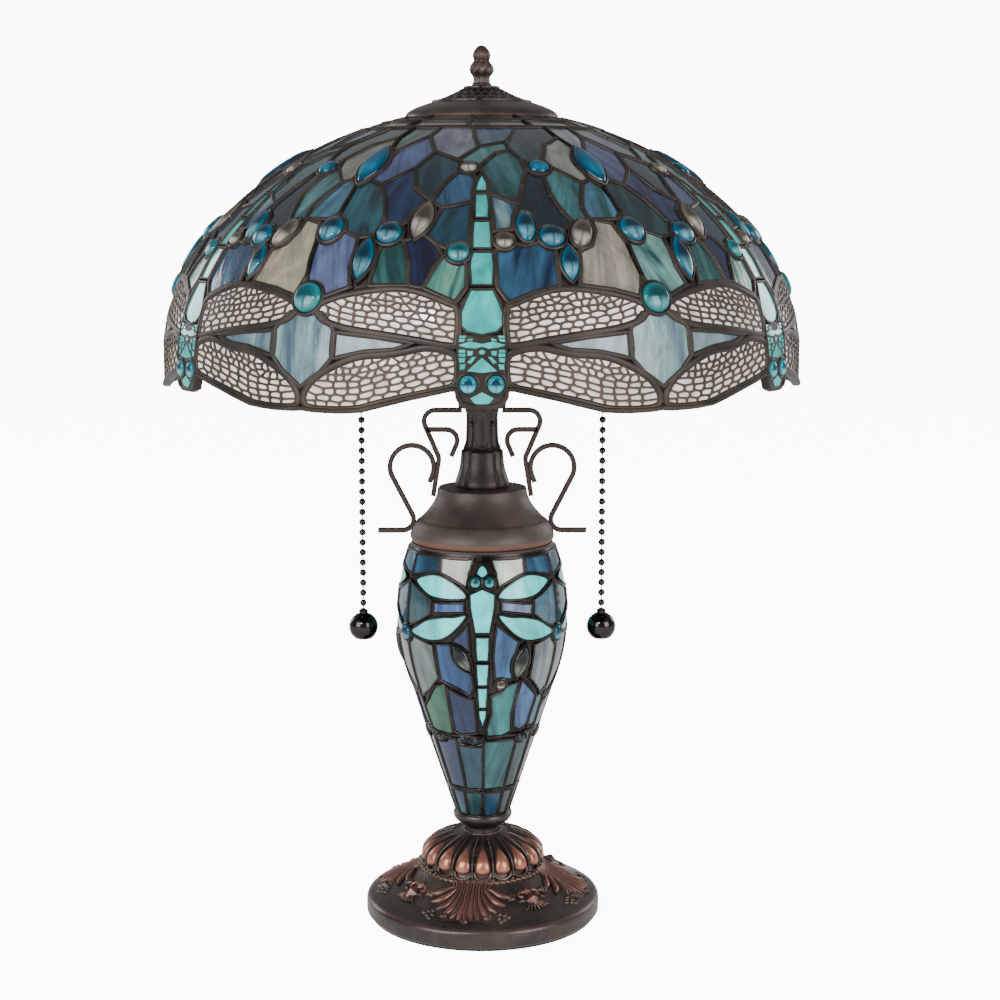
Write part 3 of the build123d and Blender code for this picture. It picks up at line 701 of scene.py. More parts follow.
# Points of one sector's cartoon: azimuth from the dragonfly's own axis, and distance up the meridian.
CARTOON = (
    "c1 -31.2,243; c2 -18,243; c3 -3.5,243; c4 15,243; c5 28.8,243; d1 -31.3,223; d2 -29.5,206; "
    "d3 -26.5,203; d6 28.7,223; d7 30.5,206; e1 -19.3,226; f1 -2.5,225; f2 -0.8,208; f3 -6.5,190; "
    "g1 -15.8,210; g2 -14,201; h1 10,222; h2 7.8,215; h3 11,190; i1 21,211; i2 17,190; i3 24.4,163.5; "
    "i4 27,167; i6 18.3,181; j1 -17.3,180; j2 -24,161.5; m1 27,192; m2 27,175; m3 -27,175; m4 -27,192; "
    "m5 -27.8,166; p1 -6.7,172; p2 -9,160; q1 -10.6,144.5; q2 -15,157; r1 8.6,203; r2 4,198; r3 1.3,189; "
    "r4 -0.5,181.5; s1 11.2,176; s2 9.3,160; s3 7.7,141.5; s4 8,135; t1 1.5,152.5; t2 1.5,165; "
    "t3 0.2,174; t4 -1.5,168; t5 -1.8,153; u2 15.7,119; u3 18,125.5; u4 16.6,135; u5 15.3,150; "
    "u6 15.2,171; v1 22.5,150; v2 21.3,139; v3 21.6,129; w1 29.3,160; w2 29.6,148; w3 29.6,134; "
    "w4 28,128; w5 -30.7,160; w6 -30.4,148; w7 -30.4,134; x1 -27,118; x2 -23.5,112.5; x3 -19.3,127; "
    "x4 -21.3,147; y1 -13.7,137; y2 -14.8,125.5; z1 -2,144; z2 -8.2,138.5; a1 -2.1,128; a2 -2.1,106; "
    "a3 -8,107; a4 -10.6,115; a5 -9.2,128; b1 -23.3,104; b2 -23.4,90; b3 -22.5,76.5; b4 -27.2,69.5; "
    "b5 -31.5,84; b6 -32,97; b7 -32.2,108; b8 28.5,84; b9 28,97; b0 27.8,108; k1 -18.6,104; "
    "k2 -14.3,110; k3 -12.8,95; k4 -12.2,78; k5 -19.3,77.5; k6 -19,88; l2 -6.9,99; l3 -8.3,90; "
    "l4 -9.8,76.5; l6 -2.5,92; l7 -2.5,77; l8 -4.3,67; o1 2.3,102; o2 8,106.5; o4 13.3,101; o5 13.2,88; "
    "o6 13,77.5; o7 8.5,73.5; o8 4.3,67; o9 2.5,77; o0 2.4,92; A1 22.2,128; A2 26.3,124.5; A3 27.2,114; "
    "A4 27.2,69.5; A5 22.5,74.5; A6 16.5,78; A7 17.2,90; A8 17.6,102; A9 20.4,107; A0 22,118; "
    "B1 5.7,119.5; B2 2.3,118; B3 2,135; B4 6.4,132; Jb 14.8,179.5; Jc -3.3,179.5; Jt -30,118.5; "
    "Jq -17.5,115.5; Jk -4.1,101; Jl 4.1,109.5; Jr 13,113; Jo 8.4,121.5; Jg -30,68.5"
)
SHADE_POINTS = {item[:2]: dots(item[3:])[0] for item in CARTOON.split("; ")}
# Panes of the background: their corners and their two colours.
SHADE_PANES = (
    ("c1 c2 e1 d3 d2 d1", (66, 94, 98), (112, 140, 134)),
    ("c2 c3 f1 f2 f3 g2 g1 e1", (118, 124, 148), (150, 152, 164)),
    ("c3 c4 h1 h2 f2 f1", (62, 90, 122), (108, 136, 158)),
    ("c4 c5 d6 i1 i2 Jb h3 r1 h2 h1", (36, 58, 68), (58, 86, 92)),
    ("d6 d7 m1 m2 i4 i3 i6 i2 i1", (134, 136, 130), (166, 166, 156)),
    ("e1 g1 g2 j1 j2 m5 m3 m4 d3", (58, 64, 118), (104, 116, 160)),
    ("g2 f3 Jc p1 p2 q1 q2 j1", (22, 56, 72), (52, 98, 112)),
    ("f3 f2 h2 r1 r2 r3 r4 Jc", (78, 122, 134), (104, 148, 154)),
    ("r4 r3 r2 r1 h3 s1 s2 s3 t1 t2 t3", (30, 76, 88), (78, 128, 138)),
    ("h3 Jb u6 u5 u4 u3 u2 Jr Jo s4 s3 s2 s1", (14, 32, 62), (28, 60, 84)),
    ("Jb i6 i3 v1 v2 v3 u3 u4 u5 u6", (48, 104, 112), (104, 158, 160)),
    ("i3 i4 w1 w2 w3 w4 A1 v3 v2 v1", (44, 104, 104), (104, 146, 182)),
    ("w5 m5 j2 x4 x3 Jq x2 x1 Jt w7 w6", (26, 68, 88), (66, 120, 134)),
    ("j2 j1 q2 q1 y1 y2 Jq x3 x4", (18, 30, 86), (38, 78, 126)),
    ("p2 p1 Jc t4 t5 z1 z2 q1", (34, 74, 112), (78, 122, 160)),
    ("z2 z1 a1 a2 Jk a3 a4 a5", (28, 78, 92), (48, 102, 124)),
    ("x1 x2 b1 b2 b3 b4 Jg b5 b6 b7 Jt", (92, 98, 152), (140, 148, 186)),
    ("k6 k1 Jq k2 k3 k4 k5", (38, 94, 100), (96, 148, 150)),
    ("k2 a4 a3 l2 l3 l4 k4 k3", (20, 22, 72), (46, 62, 108)),
    ("l2 Jk l6 l7 l8 l4 l3", (62, 136, 136), (150, 198, 182)),
    ("o1 Jl o2 Jr o4 o5 o6 o7 o8 o9 o0", (24, 60, 104), (76, 124, 160)),
    ("A1 A2 A3 b0 b9 b8 A4 A5 A6 A7 A8 A9 A0", (168, 162, 152), (206, 196, 182)),
    ("t1 s3 B4 B1 B2 B3", (46, 96, 140), (156, 184, 194)),
)
CROWN_GLASS = (
    (CROWN_LINE, CROWN_EDGE, (104, 110, 108), (140, 142, 136)),
    (CROWN_EDGE, CROWN_END, (62, 84, 84), (92, 112, 106)),
)
# In the sector to the right of the front one, these panes have other colours.
NEIGHBOUR_PANES = {
    0: ((140, 142, 152), (172, 172, 178)), 12: ((20, 60, 68), (48, 98, 100)), 16: ((34, 122, 122), (170, 206, 204)),
}
AQUA = (deep(76, 202, 202, 0.62), deep(92, 212, 212, 0.62))
BRIGHT_AQUA = (deep(92, 220, 222, 0.85), deep(118, 232, 232, 0.85))
PALE = (deep(126, 146, 162, 0.6), deep(166, 182, 192, 0.6))
IVORY = (rgb(212, 202, 190), rgb(228, 219, 207))
UPPER_WING = dots(
    "4.1,62 5.6,66 9.5,72 13,75 17,74.5 22.5,71 26.5,66 27.8,61.5 26.3,55.5 22.5,51 16,47.5 10,44 5,40.8 "
    "4.1,44"
)
LOWER_WING = dots(
    "4.1,32 5.8,36.3 9,37.8 12,35.3 15,33.3 19,32 22,28.5 25,23 27.5,16.5 29,9 29.2,3.2 28,0.4 24,0 "
    "20,1.2 16.5,5 12,9.3 8,12.8 5,15.6 4.1,20"
)
WEDGE = dots("24.2,46.5 17,44.2 11,41.2 14,38 19,36.3 24.2,31.6")
CORNER = dots("-3,58.5 3,58.5 5.2,50.5 5.8,46.5 5.8,32 3.6,22.5 0,13 -3.6,22.5 -5.8,32 -5.8,46.5 -5.2,50.5")
BODY = (
    dots("1.9,75.6 2.8,68 3.7,58 3.6,53 2.4,48.4 0,46.4"), dots("1.9,101.8 2.2,92 1.8,78.2"),
    dots("1.65,126.6 1.85,115 1.75,104.2"), dots("1.5,151.6 1.6,140 1.35,129.2"), dots("0,174 1.2,164 1.6,154.2"),
)
# Openings of the pierced plate over the thorax, on its right half, and the glass that stands in it.
THORAX_OPENINGS = (
    dots("1.4,44.7 2.2,44 2.3,43.1 1.5,43.2"), dots("2.5,46.2 3.6,46.2 3.6,44.8 2.6,44.7"),
    dots("2.6,44.2 3.6,44.2 3.6,42.4 2.9,42.6"), dots("1.4,36.9 2.3,36.9 2.2,34 1.5,34.3"),
    dots("2.6,37.6 3.6,37.6 3.6,36 2.6,35.9"), dots("2.5,35.3 3.6,35.4 3.6,33.4 2.6,33.2"),
    dots("2.6,32.5 3.6,32.7 3.6,29.8 2.7,30.2"), dots("0.9,33.4 1.5,33.2 2.3,29.9 1.7,29.2"),
    dots("2.5,29 3.5,28.6 3.5,25.6 2.7,25.8"),
)
THORAX_GEMS = (
    dots("0,32.8 2.3,24.8 0,23.7"), dots("0,41.2 1.8,42.7 3.7,40.4 2.4,38.9 0.97,38.4 0,39.6"),
    dots("0,37.8 0.5,36.6 0.45,35.6 0,34.6"),
)
HEAD_GEM = dots("0,12 1.8,8.2 1.1,4.9 0,4.3")
RIM_LINE = dots("0,3 1.8,3.2 3.2,5 3.7,9 3.9,13.3 5,13.8 8,11 12,7.4 16,3.2 19.5,-0.4 24,-1.6 28,-1.5 30,-0.8")
SHADE_JEWELS = (  # azimuth, s, length, width, tilt, kind, pointed
    (-4.1, 101, 14, 14, 0, "teal", False),
    (4.1, 109.5, 11.5, 11.5, 0, "clear", False),
    (-17.5, 115.5, 17, 17, 0, "blue", False),
    (13, 113, 17, 17, 0, "blue", False),
    (-3.3, 179.5, 11.5, 11.5, 0, "clear", False),
    (14.8, 179.5, 14, 14, 0, "deep", False),
    (8.4, 121.5, 25, 12, 0, "blue", False),
    (19, 115.5, 24, 14, 22, "clear", False),
    (30, 68.5, 20, 20, 0, "teal", False),
    (30, 118.5, 20, 17, 0, "blue", False),
    (-11.6, 127, 33, 13.5, 10, "clear", True),
    (-21.1, 96, 32, 13, 3, "blue", True),
    (15.4, 93, 26, 11.5, 3, "blue", True),
    (30, 183, 45, 17, 0, "deep", True),
)


def mirrored(points):
    return [(-a, s) for a, s in reversed(points)]


def both_sides(half):
    """A closed outline from its right half. A point on the axis isn't repeated."""
    return [*half, *mirrored([p for p in half if p[0] > 0])]


def rim_at(azimuth):
    """The shade's lower edge at an azimuth, as a distance along the meridian."""
    a = abs((azimuth + SECTOR / 2) % SECTOR - SECTOR / 2)
    for (a0, s0), (a1, s1) in zip(RIM_LINE, RIM_LINE[1:]):
        if a <= a1:
            return s0 + (s1 - s0) * (a - a0) / (a1 - a0)
    return RIM_LINE[-1][1]


def grow(outline, k, amount):
    """An outline of (azimuth, s) points moved outwards by some millimetres."""
    points = [Vector((a * k, s)) for a, s in outline]
    area = sum(a.x * b.y - b.x * a.y for a, b in zip(points, points[1:] + points[:1]))
    sign = 1 if area > 0 else -1
    moved = []
    for i, b in enumerate(points):
        u, v = (b - points[i - 1]).normalized(), (points[(i + 1) % len(points)] - b).normalized()
        out = Vector((u.y + v.y, -u.x - v.x)) * sign
        p = b + out.normalized() * amount / max(0.5, out.length / 2)
        moved.append((p.x / k, p.y))
    return moved


def leads_of(outlines):
    """The distinct edges of some outlines, and the distinct corners."""
    edges, corners = {}, {}
    for outline in outlines:
        for a, b in zip(outline, outline[1:] + outline[:1]):
            edges[frozenset((a, b))] = (a, b)
            corners[a] = True
    return list(edges.values()), list(corners)


def varied(rng, colour, spread=9, gain=0.44):
    """A glass colour moved a little, as a piece from another part of the sheet would be."""
    shift = rng.uniform(-spread, spread)
    return deep(*(max(4, min(250, c + shift + rng.uniform(-4, 4))) for c in colour), gain)


def shade_sector(skin, n, looks):
    """Glass of sector n, counted to the right from the front one."""
    rng = random.Random(40 + n)
    glass = Shape()
    for i, (names, first, second) in enumerate(SHADE_PANES):
        if n == 1 and i in NEIGHBOUR_PANES:
            first, second = NEIGHBOUR_PANES[i]
        outline = [SHADE_POINTS[name] for name in names.split()]
        spread = 0 if n == 0 else 9
        pane(glass, skin, outline, (varied(rng, first, spread), varied(rng, second, spread)), rng)
    for side in (1, -1):
        wedge = grow([(a * side, s) for a, s in WEDGE], skin.degree(WING_AT), 0.7)
        pane(glass, skin, wedge, PALE, rng, lean=0)
        for wing in (UPPER_WING, LOWER_WING):
            outline = [(p.x * side, p.y) for p in smooth(wing, 3, closed=True)]
            pane(glass, skin, outline, IVORY, rng, flat=0.0)
    corner = [(a + SECTOR / 2, s) for a, s in CORNER]
    tints = [varied(rng, colour, 9, 0.6) for colour in ((118, 140, 160), (158, 182, 186))]
    pane(glass, skin, corner, tints, rng, lean=0)
    for part in BODY:
        pane(glass, skin, both_sides(part), AQUA, rng, lift=0.3, flat=0.2, grid=5.0)
    for middle in (-21.5, 8.5):
        for low, high, first, second in CROWN_GLASS:
            outline = [(middle - 15, low), (middle + 15, low), (middle + 15, high), (middle - 15, high)]
            pane(glass, skin, outline, (varied(rng, first), varied(rng, second)), rng, flat=0.0, lean=90)
    for gem in (HEAD_GEM, *THORAX_GEMS):
        pane(glass, skin, both_sides(gem), AQUA, rng, lift=1.2, flat=0.0, thick=2.0, grid=5.0)
    for opening in THORAX_OPENINGS:
        for side in (opening, mirrored(opening)):
            pane(glass, skin, side, AQUA, rng, lift=1.2, flat=0.0, thick=2.0, grid=6.0)
    nodes = (f"shade_field_panel_{n + 1}", f"shade_dragonfly_panel_{n + 1}")
    glass.make(f"shade_glass_{n + 1}", [looks["glass"]], "shade", nodes, "stained_glass", n * SECTOR)


def shade_filigree(skin):
    """The pierced plates over one dragonfly's wings and thorax."""
    plate = Shape()
    rng = random.Random(7)
    k = skin.degree(WING_AT)
    for wing, bricks in ((UPPER_WING, 3), (LOWER_WING, 4)):
        outline = smooth(wing, 3, closed=True)
        for side in (1, -1):
            flat = [Vector((p.x * k * side, p.y)) for p in outline]
            net(plate, skin, wing_cells(flat, rng, bricks), k)
            path = [(p.x * side, p.y) for p in outline]
            bead(plate, skin, grow(path, k, 0.9), 5.2, 1.4, look=1, closed=True, step=12)
    for outline in (((3.75, 46.4), (3.75, 22)), dots("3.9,22 3.8,12.5 3,5.6 1.8,3.8 0,3.4")):
        pane(plate, skin, both_sides(outline), AQUA, rng, lift=0.9, flat=0.0, thick=3.6, look=1)
    for side in (1, -1):
        bead(plate, skin, ((3.8 * side, 46.5), (3.8 * side, 22)), 1.8, 1.9, look=1)
    return plate


def shade_leads(skin):
    """One sector's cames, with the solder at their joints."""
    leads = Shape()
    edges, corners = leads_of([SHADE_POINTS[name] for name in names.split()] for names, _, _ in SHADE_PANES)
    for a, b in edges:
        bead(leads, skin, (a, b), 3.5, 1.4)
    for a, s in corners:
        blob(leads, skin, a, s, 1.9, 1.42)
    k = skin.degree(WING_AT)
    for side in (1, -1):
        bead(leads, skin, grow([(a * side, s) for a, s in WEDGE], k, 0.9), 3.6, 1.4, closed=True)
    bead(leads, skin, grow([(a + SECTOR / 2, s) for a, s in CORNER], k, 0.5), 3.6, 1.4, closed=True)
    for part in BODY:
        bead(leads, skin, both_sides(part), 2.2, 1.5, closed=True)
    for s in (CROWN_LINE, CROWN_EDGE):
        bead(leads, skin, [(-36.5 + i * 5, s) for i in range(13)], 4.2, 1.6)
    for a in (-36.5, -6.5, 23.5):
        bead(leads, skin, ((a, CROWN_LINE), (a, CROWN_EDGE + 14)), 4.2, 1.6)
    for side in (1, -1):
        bead(leads, skin, [(a * side, s) for a, s in RIM_LINE], 4.0, 2.0)
    return leads


def build_shade(looks):
    skin = shade_meridian()
    filigree = shade_filigree(skin)
    for n in range(SECTORS):
        shade_sector(skin, n, looks)
        metals = [looks["filigree"], looks["lead"]]
        filigree.make(f"shade_filigree_{n + 1}", metals, "shade", (), "patinated_solder", n * SECTOR, 55)
    leads = shade_leads(skin)
    everything = Shape()
    for n in range(SECTORS):
        everything.copy(leads, n * SECTOR)
    sheet(everything, skin, rim_at, skin.length - 6, 240)
    everything.make("shade_leads", [looks["lead"]], "shade", "shade_lead_frame", "patinated_solder")
    stones, eyes, settings = Shape(), Shape(), Shape()
    for n in range(SECTORS):
        for a, *rest in SHADE_JEWELS:
            jewel(stones, settings, skin, a + n * SECTOR, *rest)
        for a in (-2.15, 2.15):
            jewel(eyes, settings, skin, a + n * SECTOR, 16.5, 11.4, 10.8, 0, "eye", tall=0.3)
    stones.make("shade_jewels", [looks["jewel"]], "shade", ("shade_round_jewels", "shade_long_jewels"), "jewel_glass")
    eyes.make("dragonfly_eye_jewels", [looks["jewel"]], "shade", "dragonfly_eyes", "jewel_glass")
    settings.make("shade_bezels", [looks["lead"]], "shade", (), "patinated_solder")


# ---- Vase -----------------------------------------------------------------------------------
VASE_LOW, VASE_HIGH, WAIST = 76.5, 282.5, 185.9
TAPER = tan(radians(18.4))
FACES = 3
FACE = 360 // FACES


def vase_meridian():
    points = []
    for i in range(83):
        z = VASE_LOW + (VASE_HIGH - VASE_LOW) * i / 82
        points.append((55 - (WAIST - z) * TAPER if z < WAIST else sqrt(143**2 - (z - 231) ** 2) - 80.7, z))
    return Skin(points)


# Panes of one face: corners as (azimuth from the dragonfly's axis, height), and two colours.
VASE_PANES = (
    (dots("-59,265.5 -34,269.8 -35,278.5 -59,278.5"), (34, 84, 110), (60, 120, 142)),
    (dots("-30.5,269.6 -24,267.2 -12,261.5 -10.5,268 -8,278.5 -31.5,278.5"), (150, 158, 158), (190, 188, 176)),
    (dots("12,261.5 24,267.2 30.5,269.6 31.5,278.5 8,278.5 10.5,268"), (170, 174, 170), (206, 204, 194)),
    (dots("34,269.8 59,265.5 59,278.5 35,278.5"), (36, 80, 122), (76, 128, 160)),
    (dots("-33.5,241 -13,243 -13,248.5 -33.5,247"), (74, 104, 150), (112, 138, 176)),
    (dots("13.5,244 34,240 34.5,246 13.5,249.5"), (128, 130, 168), (158, 162, 190)),
    (dots("-59,228 -48,233 -37,240 -37,249 -48,254 -59,259"), (24, 62, 74), (58, 104, 116)),
    (dots("37,240 47,232 59,227 59,259 49,254 38,249"), (64, 96, 124), (100, 134, 156)),
    (dots("-54,220 -36,216 -34.5,192 -45,182 -59,174 -59,215"), (110, 122, 124), (146, 154, 148)),
    (dots("38,216 52,220 59,212 59,182 53,178 37.5,192"), (106, 116, 128), (144, 148, 152)),
    (dots("-32,217 -23,218 -21,212 -12,200 -8,195 -7,186 -9.5,180 -19,186 -31.5,191"), (22, 56, 100), (58, 100, 146)),
    (dots("-19,222 -10,232 -9,214 -15,216"), (16, 40, 92), (40, 70, 124)),
    (dots("10,232 24,220 22,212 20,204 21,193 9.5,194 8,210 9,225"), (26, 70, 118), (76, 126, 162)),
    (dots("-30,187 -30,170 -31,150 -35,144 -58,149 -59,165 -50,172 -38,184"), (34, 92, 78), (78, 132, 104)),
    (dots("-27,183 -20,180 -8,176 -6.5,150 -20,148 -27,150"), (18, 30, 74), (40, 62, 112)),
    (dots("7.5,179 14,181 20,187 27,189 25,165 27.5,150 16,146 6,146 4.5,152 8.5,165"), (34, 98, 110),
     (76, 144, 148)),
    (dots("31,189 47,176 48,170 46,155 39,150 31,154 29,165 28.5,175"), (62, 92, 140), (104, 134, 172)),
    (dots("50,174 55,176 59,172 59,152 50,151 48.5,160"), (34, 86, 116), (80, 132, 152)),
    (dots("-59,103 -28.5,103 -30,142 -59,146"), (18, 34, 66), (38, 66, 104)),
    (dots("-24,103 -1,103 -1,137 -26,138"), (24, 62, 86), (56, 102, 116)),
    (dots("2.5,103 33,103 36,142 2.5,142"), (30, 82, 98), (70, 124, 128)),
    (dots("37,103 59,103 59,148 46,146 39.5,141"), (26, 62, 62), (58, 94, 92)),
    (dots("-59,80 -33,80 -32,99 -59,99"), (28, 66, 86), (56, 100, 112)),
    (dots("-30,80 -3.5,80 -2.5,99 -29,99"), (26, 68, 80), (54, 100, 108)),
    (dots("4,80 32,80 33,99 4,99"), (24, 58, 86), (50, 90, 116)),
    (dots("35,80 59,80 59,99 36,99"), (28, 66, 78), (58, 100, 104)),
)
VASE_UPPER = dots("11,252.5 12,256.5 17,260.5 25,265 34,267.5 44,266 53,261.5 46,256 38,252 28,250.8 18,251")
VASE_LOWER = dots("11,241 11.5,237.5 16,231.5 23,224.5 31,220.5 43,220 55,223.5 48,229.5 39,235 28,238 19,239")
VASE_BODY = (
    dots("0,259.5 8.6,255.4 8.2,246 6.4,236 4.9,227.6"),
    dots("4.5,225 4.6,216 3.9,207.2"), dots("4.4,205 4.3,196 3.6,188"), dots("3.9,186.5 3.9,178 3.2,170"),
    dots("3.5,168.5 3.2,162 0,154"),
)
VASE_HEAD = dots("6,278 10,270 9.5,259.5")
VASE_DOME = dots("0,276 3.2,273.5 4.3,270 2.5,267.5 0,266.8")
VASE_JEWELS = (  # azimuth, height, length, width, tilt, kind, pointed
    (-4.8, 263.5, 7.6, 7.6, 0, "teal", False),
    (4.8, 263.5, 7.6, 7.6, 0, "teal", False),
    (13.5, 189, 7, 7, 0, "clear", False),
    (59.5, 222, 11, 11, 0, "blue", False),
    (27, 205, 26, 11.5, 13, "smoke", True),
    (-14, 209, 24, 10, -32, "smoke", True),
)
BELT_JEWELS = (-47, -21, -5, 43)
BELT, VASE_LINES = 143, dots("279.8,2.4 146.2,2.6 101,2.2 78.6,2.6")  # heights, and widths


def build_vase(looks):
    skin = vase_meridian()
    stones, settings, leads, plate = Shape(), Shape(), Shape(), Shape()

    def on(points):
        return [(a, skin.s_at(z)) for a, z in points]

    def wide(points):
        middle = skin.s_at(sum(z for _, z in points) / len(points))
        return grow(on(points), skin.degree(middle), 0.9)

    wings = []
    for wing in (VASE_UPPER, VASE_LOWER):
        for side in (1, -1):
            wings.append(smooth(on([(a * side, z) for a, z in wing]), 3, closed=True))
    rng = random.Random(3)
    for face in range(FACES):
        glass = Shape()
        spread = 12 if face else 0
        for outline, *colours in VASE_PANES:
            tints = [varied(rng, colour, spread, 0.8) for colour in colours]
            pane(glass, skin, wide(outline), tints, rng, flat=0.1, grid=6.0)
        for part in (*VASE_BODY, VASE_DOME):
            pane(glass, skin, on(both_sides(part)), BRIGHT_AQUA, rng, lift=0.4, flat=0.0, grid=5.0)
        for wing in wings:
            pane(glass, skin, wing, BRIGHT_AQUA, rng, lift=0.3, flat=0.05, grid=6.0)
        title, node = f"vase_glass_{face + 1}", f"vase_panel_{face + 1}"
        glass.make(title, [looks["glass"]], "stand", node, "stained_glass", face * FACE)
    for wing in wings:
        bead(plate, skin, wing, 2.0, 1.3, closed=True, step=9)
    pane(plate, skin, on(both_sides(VASE_HEAD)), IVORY, rng, flat=0.0, grid=6.0)
    for outline in (VASE_DOME, VASE_HEAD):
        bead(plate, skin, on(both_sides(outline)), 1.8, 1.5, closed=True)
    for outline, _, _ in VASE_PANES:
        bead(leads, skin, wide(outline), 2.3, 1.15, closed=True)
        for a, s in wide(outline):
            blob(leads, skin, a, s, 1.3, 1.15)
    for part in VASE_BODY:
        bead(leads, skin, on(both_sides(part)), 2.0, 1.3, closed=True)
    everything = Shape()
    for turn in range(0, 360, FACE):
        everything.copy(leads, turn)
        everything.copy(plate, turn)
        for a, z, *rest in VASE_JEWELS:
            jewel(stones, settings, skin, a + turn, skin.s_at(z), *rest)
        for a in BELT_JEWELS:
            jewel(stones, settings, skin, a + turn, skin.s_at(BELT), 8.5, 5.5, 90, "dark")
    for z, width in VASE_LINES:
        bead(everything, skin, [(i * 5, skin.s_at(z)) for i in range(72)], width, 1.2, closed=True)
    sheet(everything, skin, lambda azimuth: 0.0, skin.length, 120, outer=-0.5)
    everything.make("vase_leads", [looks["fine_lead"]], "stand", "vase_lead_frame", "patinated_solder")
    stones.make("vase_jewel_stones", [looks["jewel"]], "stand", "vase_jewels", "jewel_glass")
    settings.make("vase_bezels", [looks["fine_lead"]], "stand", (), "patinated_solder")


# ---- Cast ornament --------------------------------------------------------------------------
SINK = 0.5  # how far the edge of a leaf goes into the surface below it


def petal(shape, skin, azimuth, path, widths, height, wear=0.7, groove=0.0, lift=0.0, columns=8, steps=4,
        facet=False):
    """A raised leaf: domed across a centre line of (millimetres to the right of azimuth, s) points."""
    spine = smooth([(x, s, w) for (x, s), w in zip(path, widths)], steps)
    n, widest = len(spine), max(widths)
    points, worn = [], []
    for i, p in enumerate(spine):
        a, b = spine[max(i - 1, 0)], spine[min(i + 1, n - 1)]
        go = Vector((b.x - a.x, b.y - a.y)).normalized()
        across = Vector((go.y, -go.x))
        wide = max(p.z, 0.1)
        swell = min(1.0, wide / widest) ** (1.0 if facet else 0.5)
        for j in range(columns + 1):
            u = 2 * j / columns - 1
            dome = 1 - abs(u) if facet else sqrt(max(0.0, 1 - u * u))
            notch = groove * max(0.0, 1 - abs(u) * 2.5)
            h = (height * swell + SINK) * dome - SINK - notch * height * swell
            x, s = p.x + across.x * u * wide / 2, p.y + across.y * u * wide / 2
            points.append(skin.at(azimuth + x / skin.degree(s), s, h + lift))
            worn.append(wear * max(0.0, dome - notch) ** 1.5 * swell)
    shape.add(points, rings(n, columns + 1, closed=False), 0, worn)


def bump_on(shape, skin, azimuth, s, radius, height, wear=0.7):
    """A round boss on a surface."""
    middle, up, east, north = skin.axes(azimuth, s)
    points, worn, levels, around = [], [], 5, 12
    for i in range(levels):
        tilt = pi / 2 * i / levels
        for k in range(around):
            turn = 2 * pi * k / around
            spot = (east * cos(turn) + north * sin(turn)) * radius * cos(tilt)
            points.append(middle + spot + up * (height * sin(tilt) - 0.3))
            worn.append(wear * i / levels)
    shape.add(points + [middle + up * (height - 0.3)], domed(levels, around), 0, worn + [wear])


def rope(shape, radius, height, thick, twists, wear):
    """A ring of two twisted strands about the lamp's axis."""
    around, section = twists * 8, 16
    points, worn = [], []
    for i in range(around):
        turn = 2 * pi * i / around
        for k in range(section):
            phi = -2 * pi * k / section
            bulge = 0.5 + 0.5 * cos(2 * phi + twists * turn)
            r = thick * (0.78 + 0.3 * sqrt(bulge))
            far = radius + r * cos(phi)
            points.append((far * sin(turn), -far * cos(turn), height + r * sin(phi)))
            worn.append(wear * bulge)
    shape.add(points + points[:section], rings(around + 1, section), 0, worn + worn[:section])


def line_on(shape, skin, azimuth, path, radius, wear, lift):
    """A round rib laid on a surface along (millimetres to the right of azimuth, s) points."""
    path = [skin.at(azimuth + p.x / skin.degree(p.y), p.y, lift) for p in smooth(path, 5)]
    points, side, around = [], None, 8
    for i, p in enumerate(path):
        ahead = (path[min(i + 1, len(path) - 1)] - path[max(i - 1, 0)]).normalized()
        side = side or ahead.orthogonal()
        side = (side - ahead * side.dot(ahead)).normalized()
        across = ahead.cross(side)
        for k in range(around):
            turn = 2 * pi * k / around
            points.append(p + (side * cos(turn) + across * sin(turn)) * radius)
    shape.add(points, rings(len(path), around, capped=True), 0, wear)


FOOT_PROFILE = dots(
    "87.5,4 87.5,11 86.8,14.2 84.5,16.2 80,18.2 71,22 62,26.5 54,31 47,35.6 43.6,39 42.6,43 42.4,47 "
    "40.6,50.6 36,54.6 28,58.6 20,61.3 13,62.6"
)
FOOT_INSIDE = dots("6.4,62.6 6.4,59 20,57.5 38,48 38,36 60,23 79,14 80,1.5")
FOOT_FRONT = -10  # azimuth of the fan nearest the front
GADROONS = 18
CUP = dots(
    "13.6,60.5 13.9,61.8 12.5,63.2 12.2,65.4 12.6,67.4 14.6,69 18.4,71 21,73.4 22,76 21.6,78.2 20.4,79.2 "
    "19.4,78.8 18.6,75 15,71 6.6,69 6.6,60.5"
)
# Where the fan's folds end: millimetres aside, and share of the fan's drop.
FAN_ENDS = dots("0,1 5,0.98 10.5,0.95 16.5,0.88 22.5,0.77 28,0.62 32,0.45")


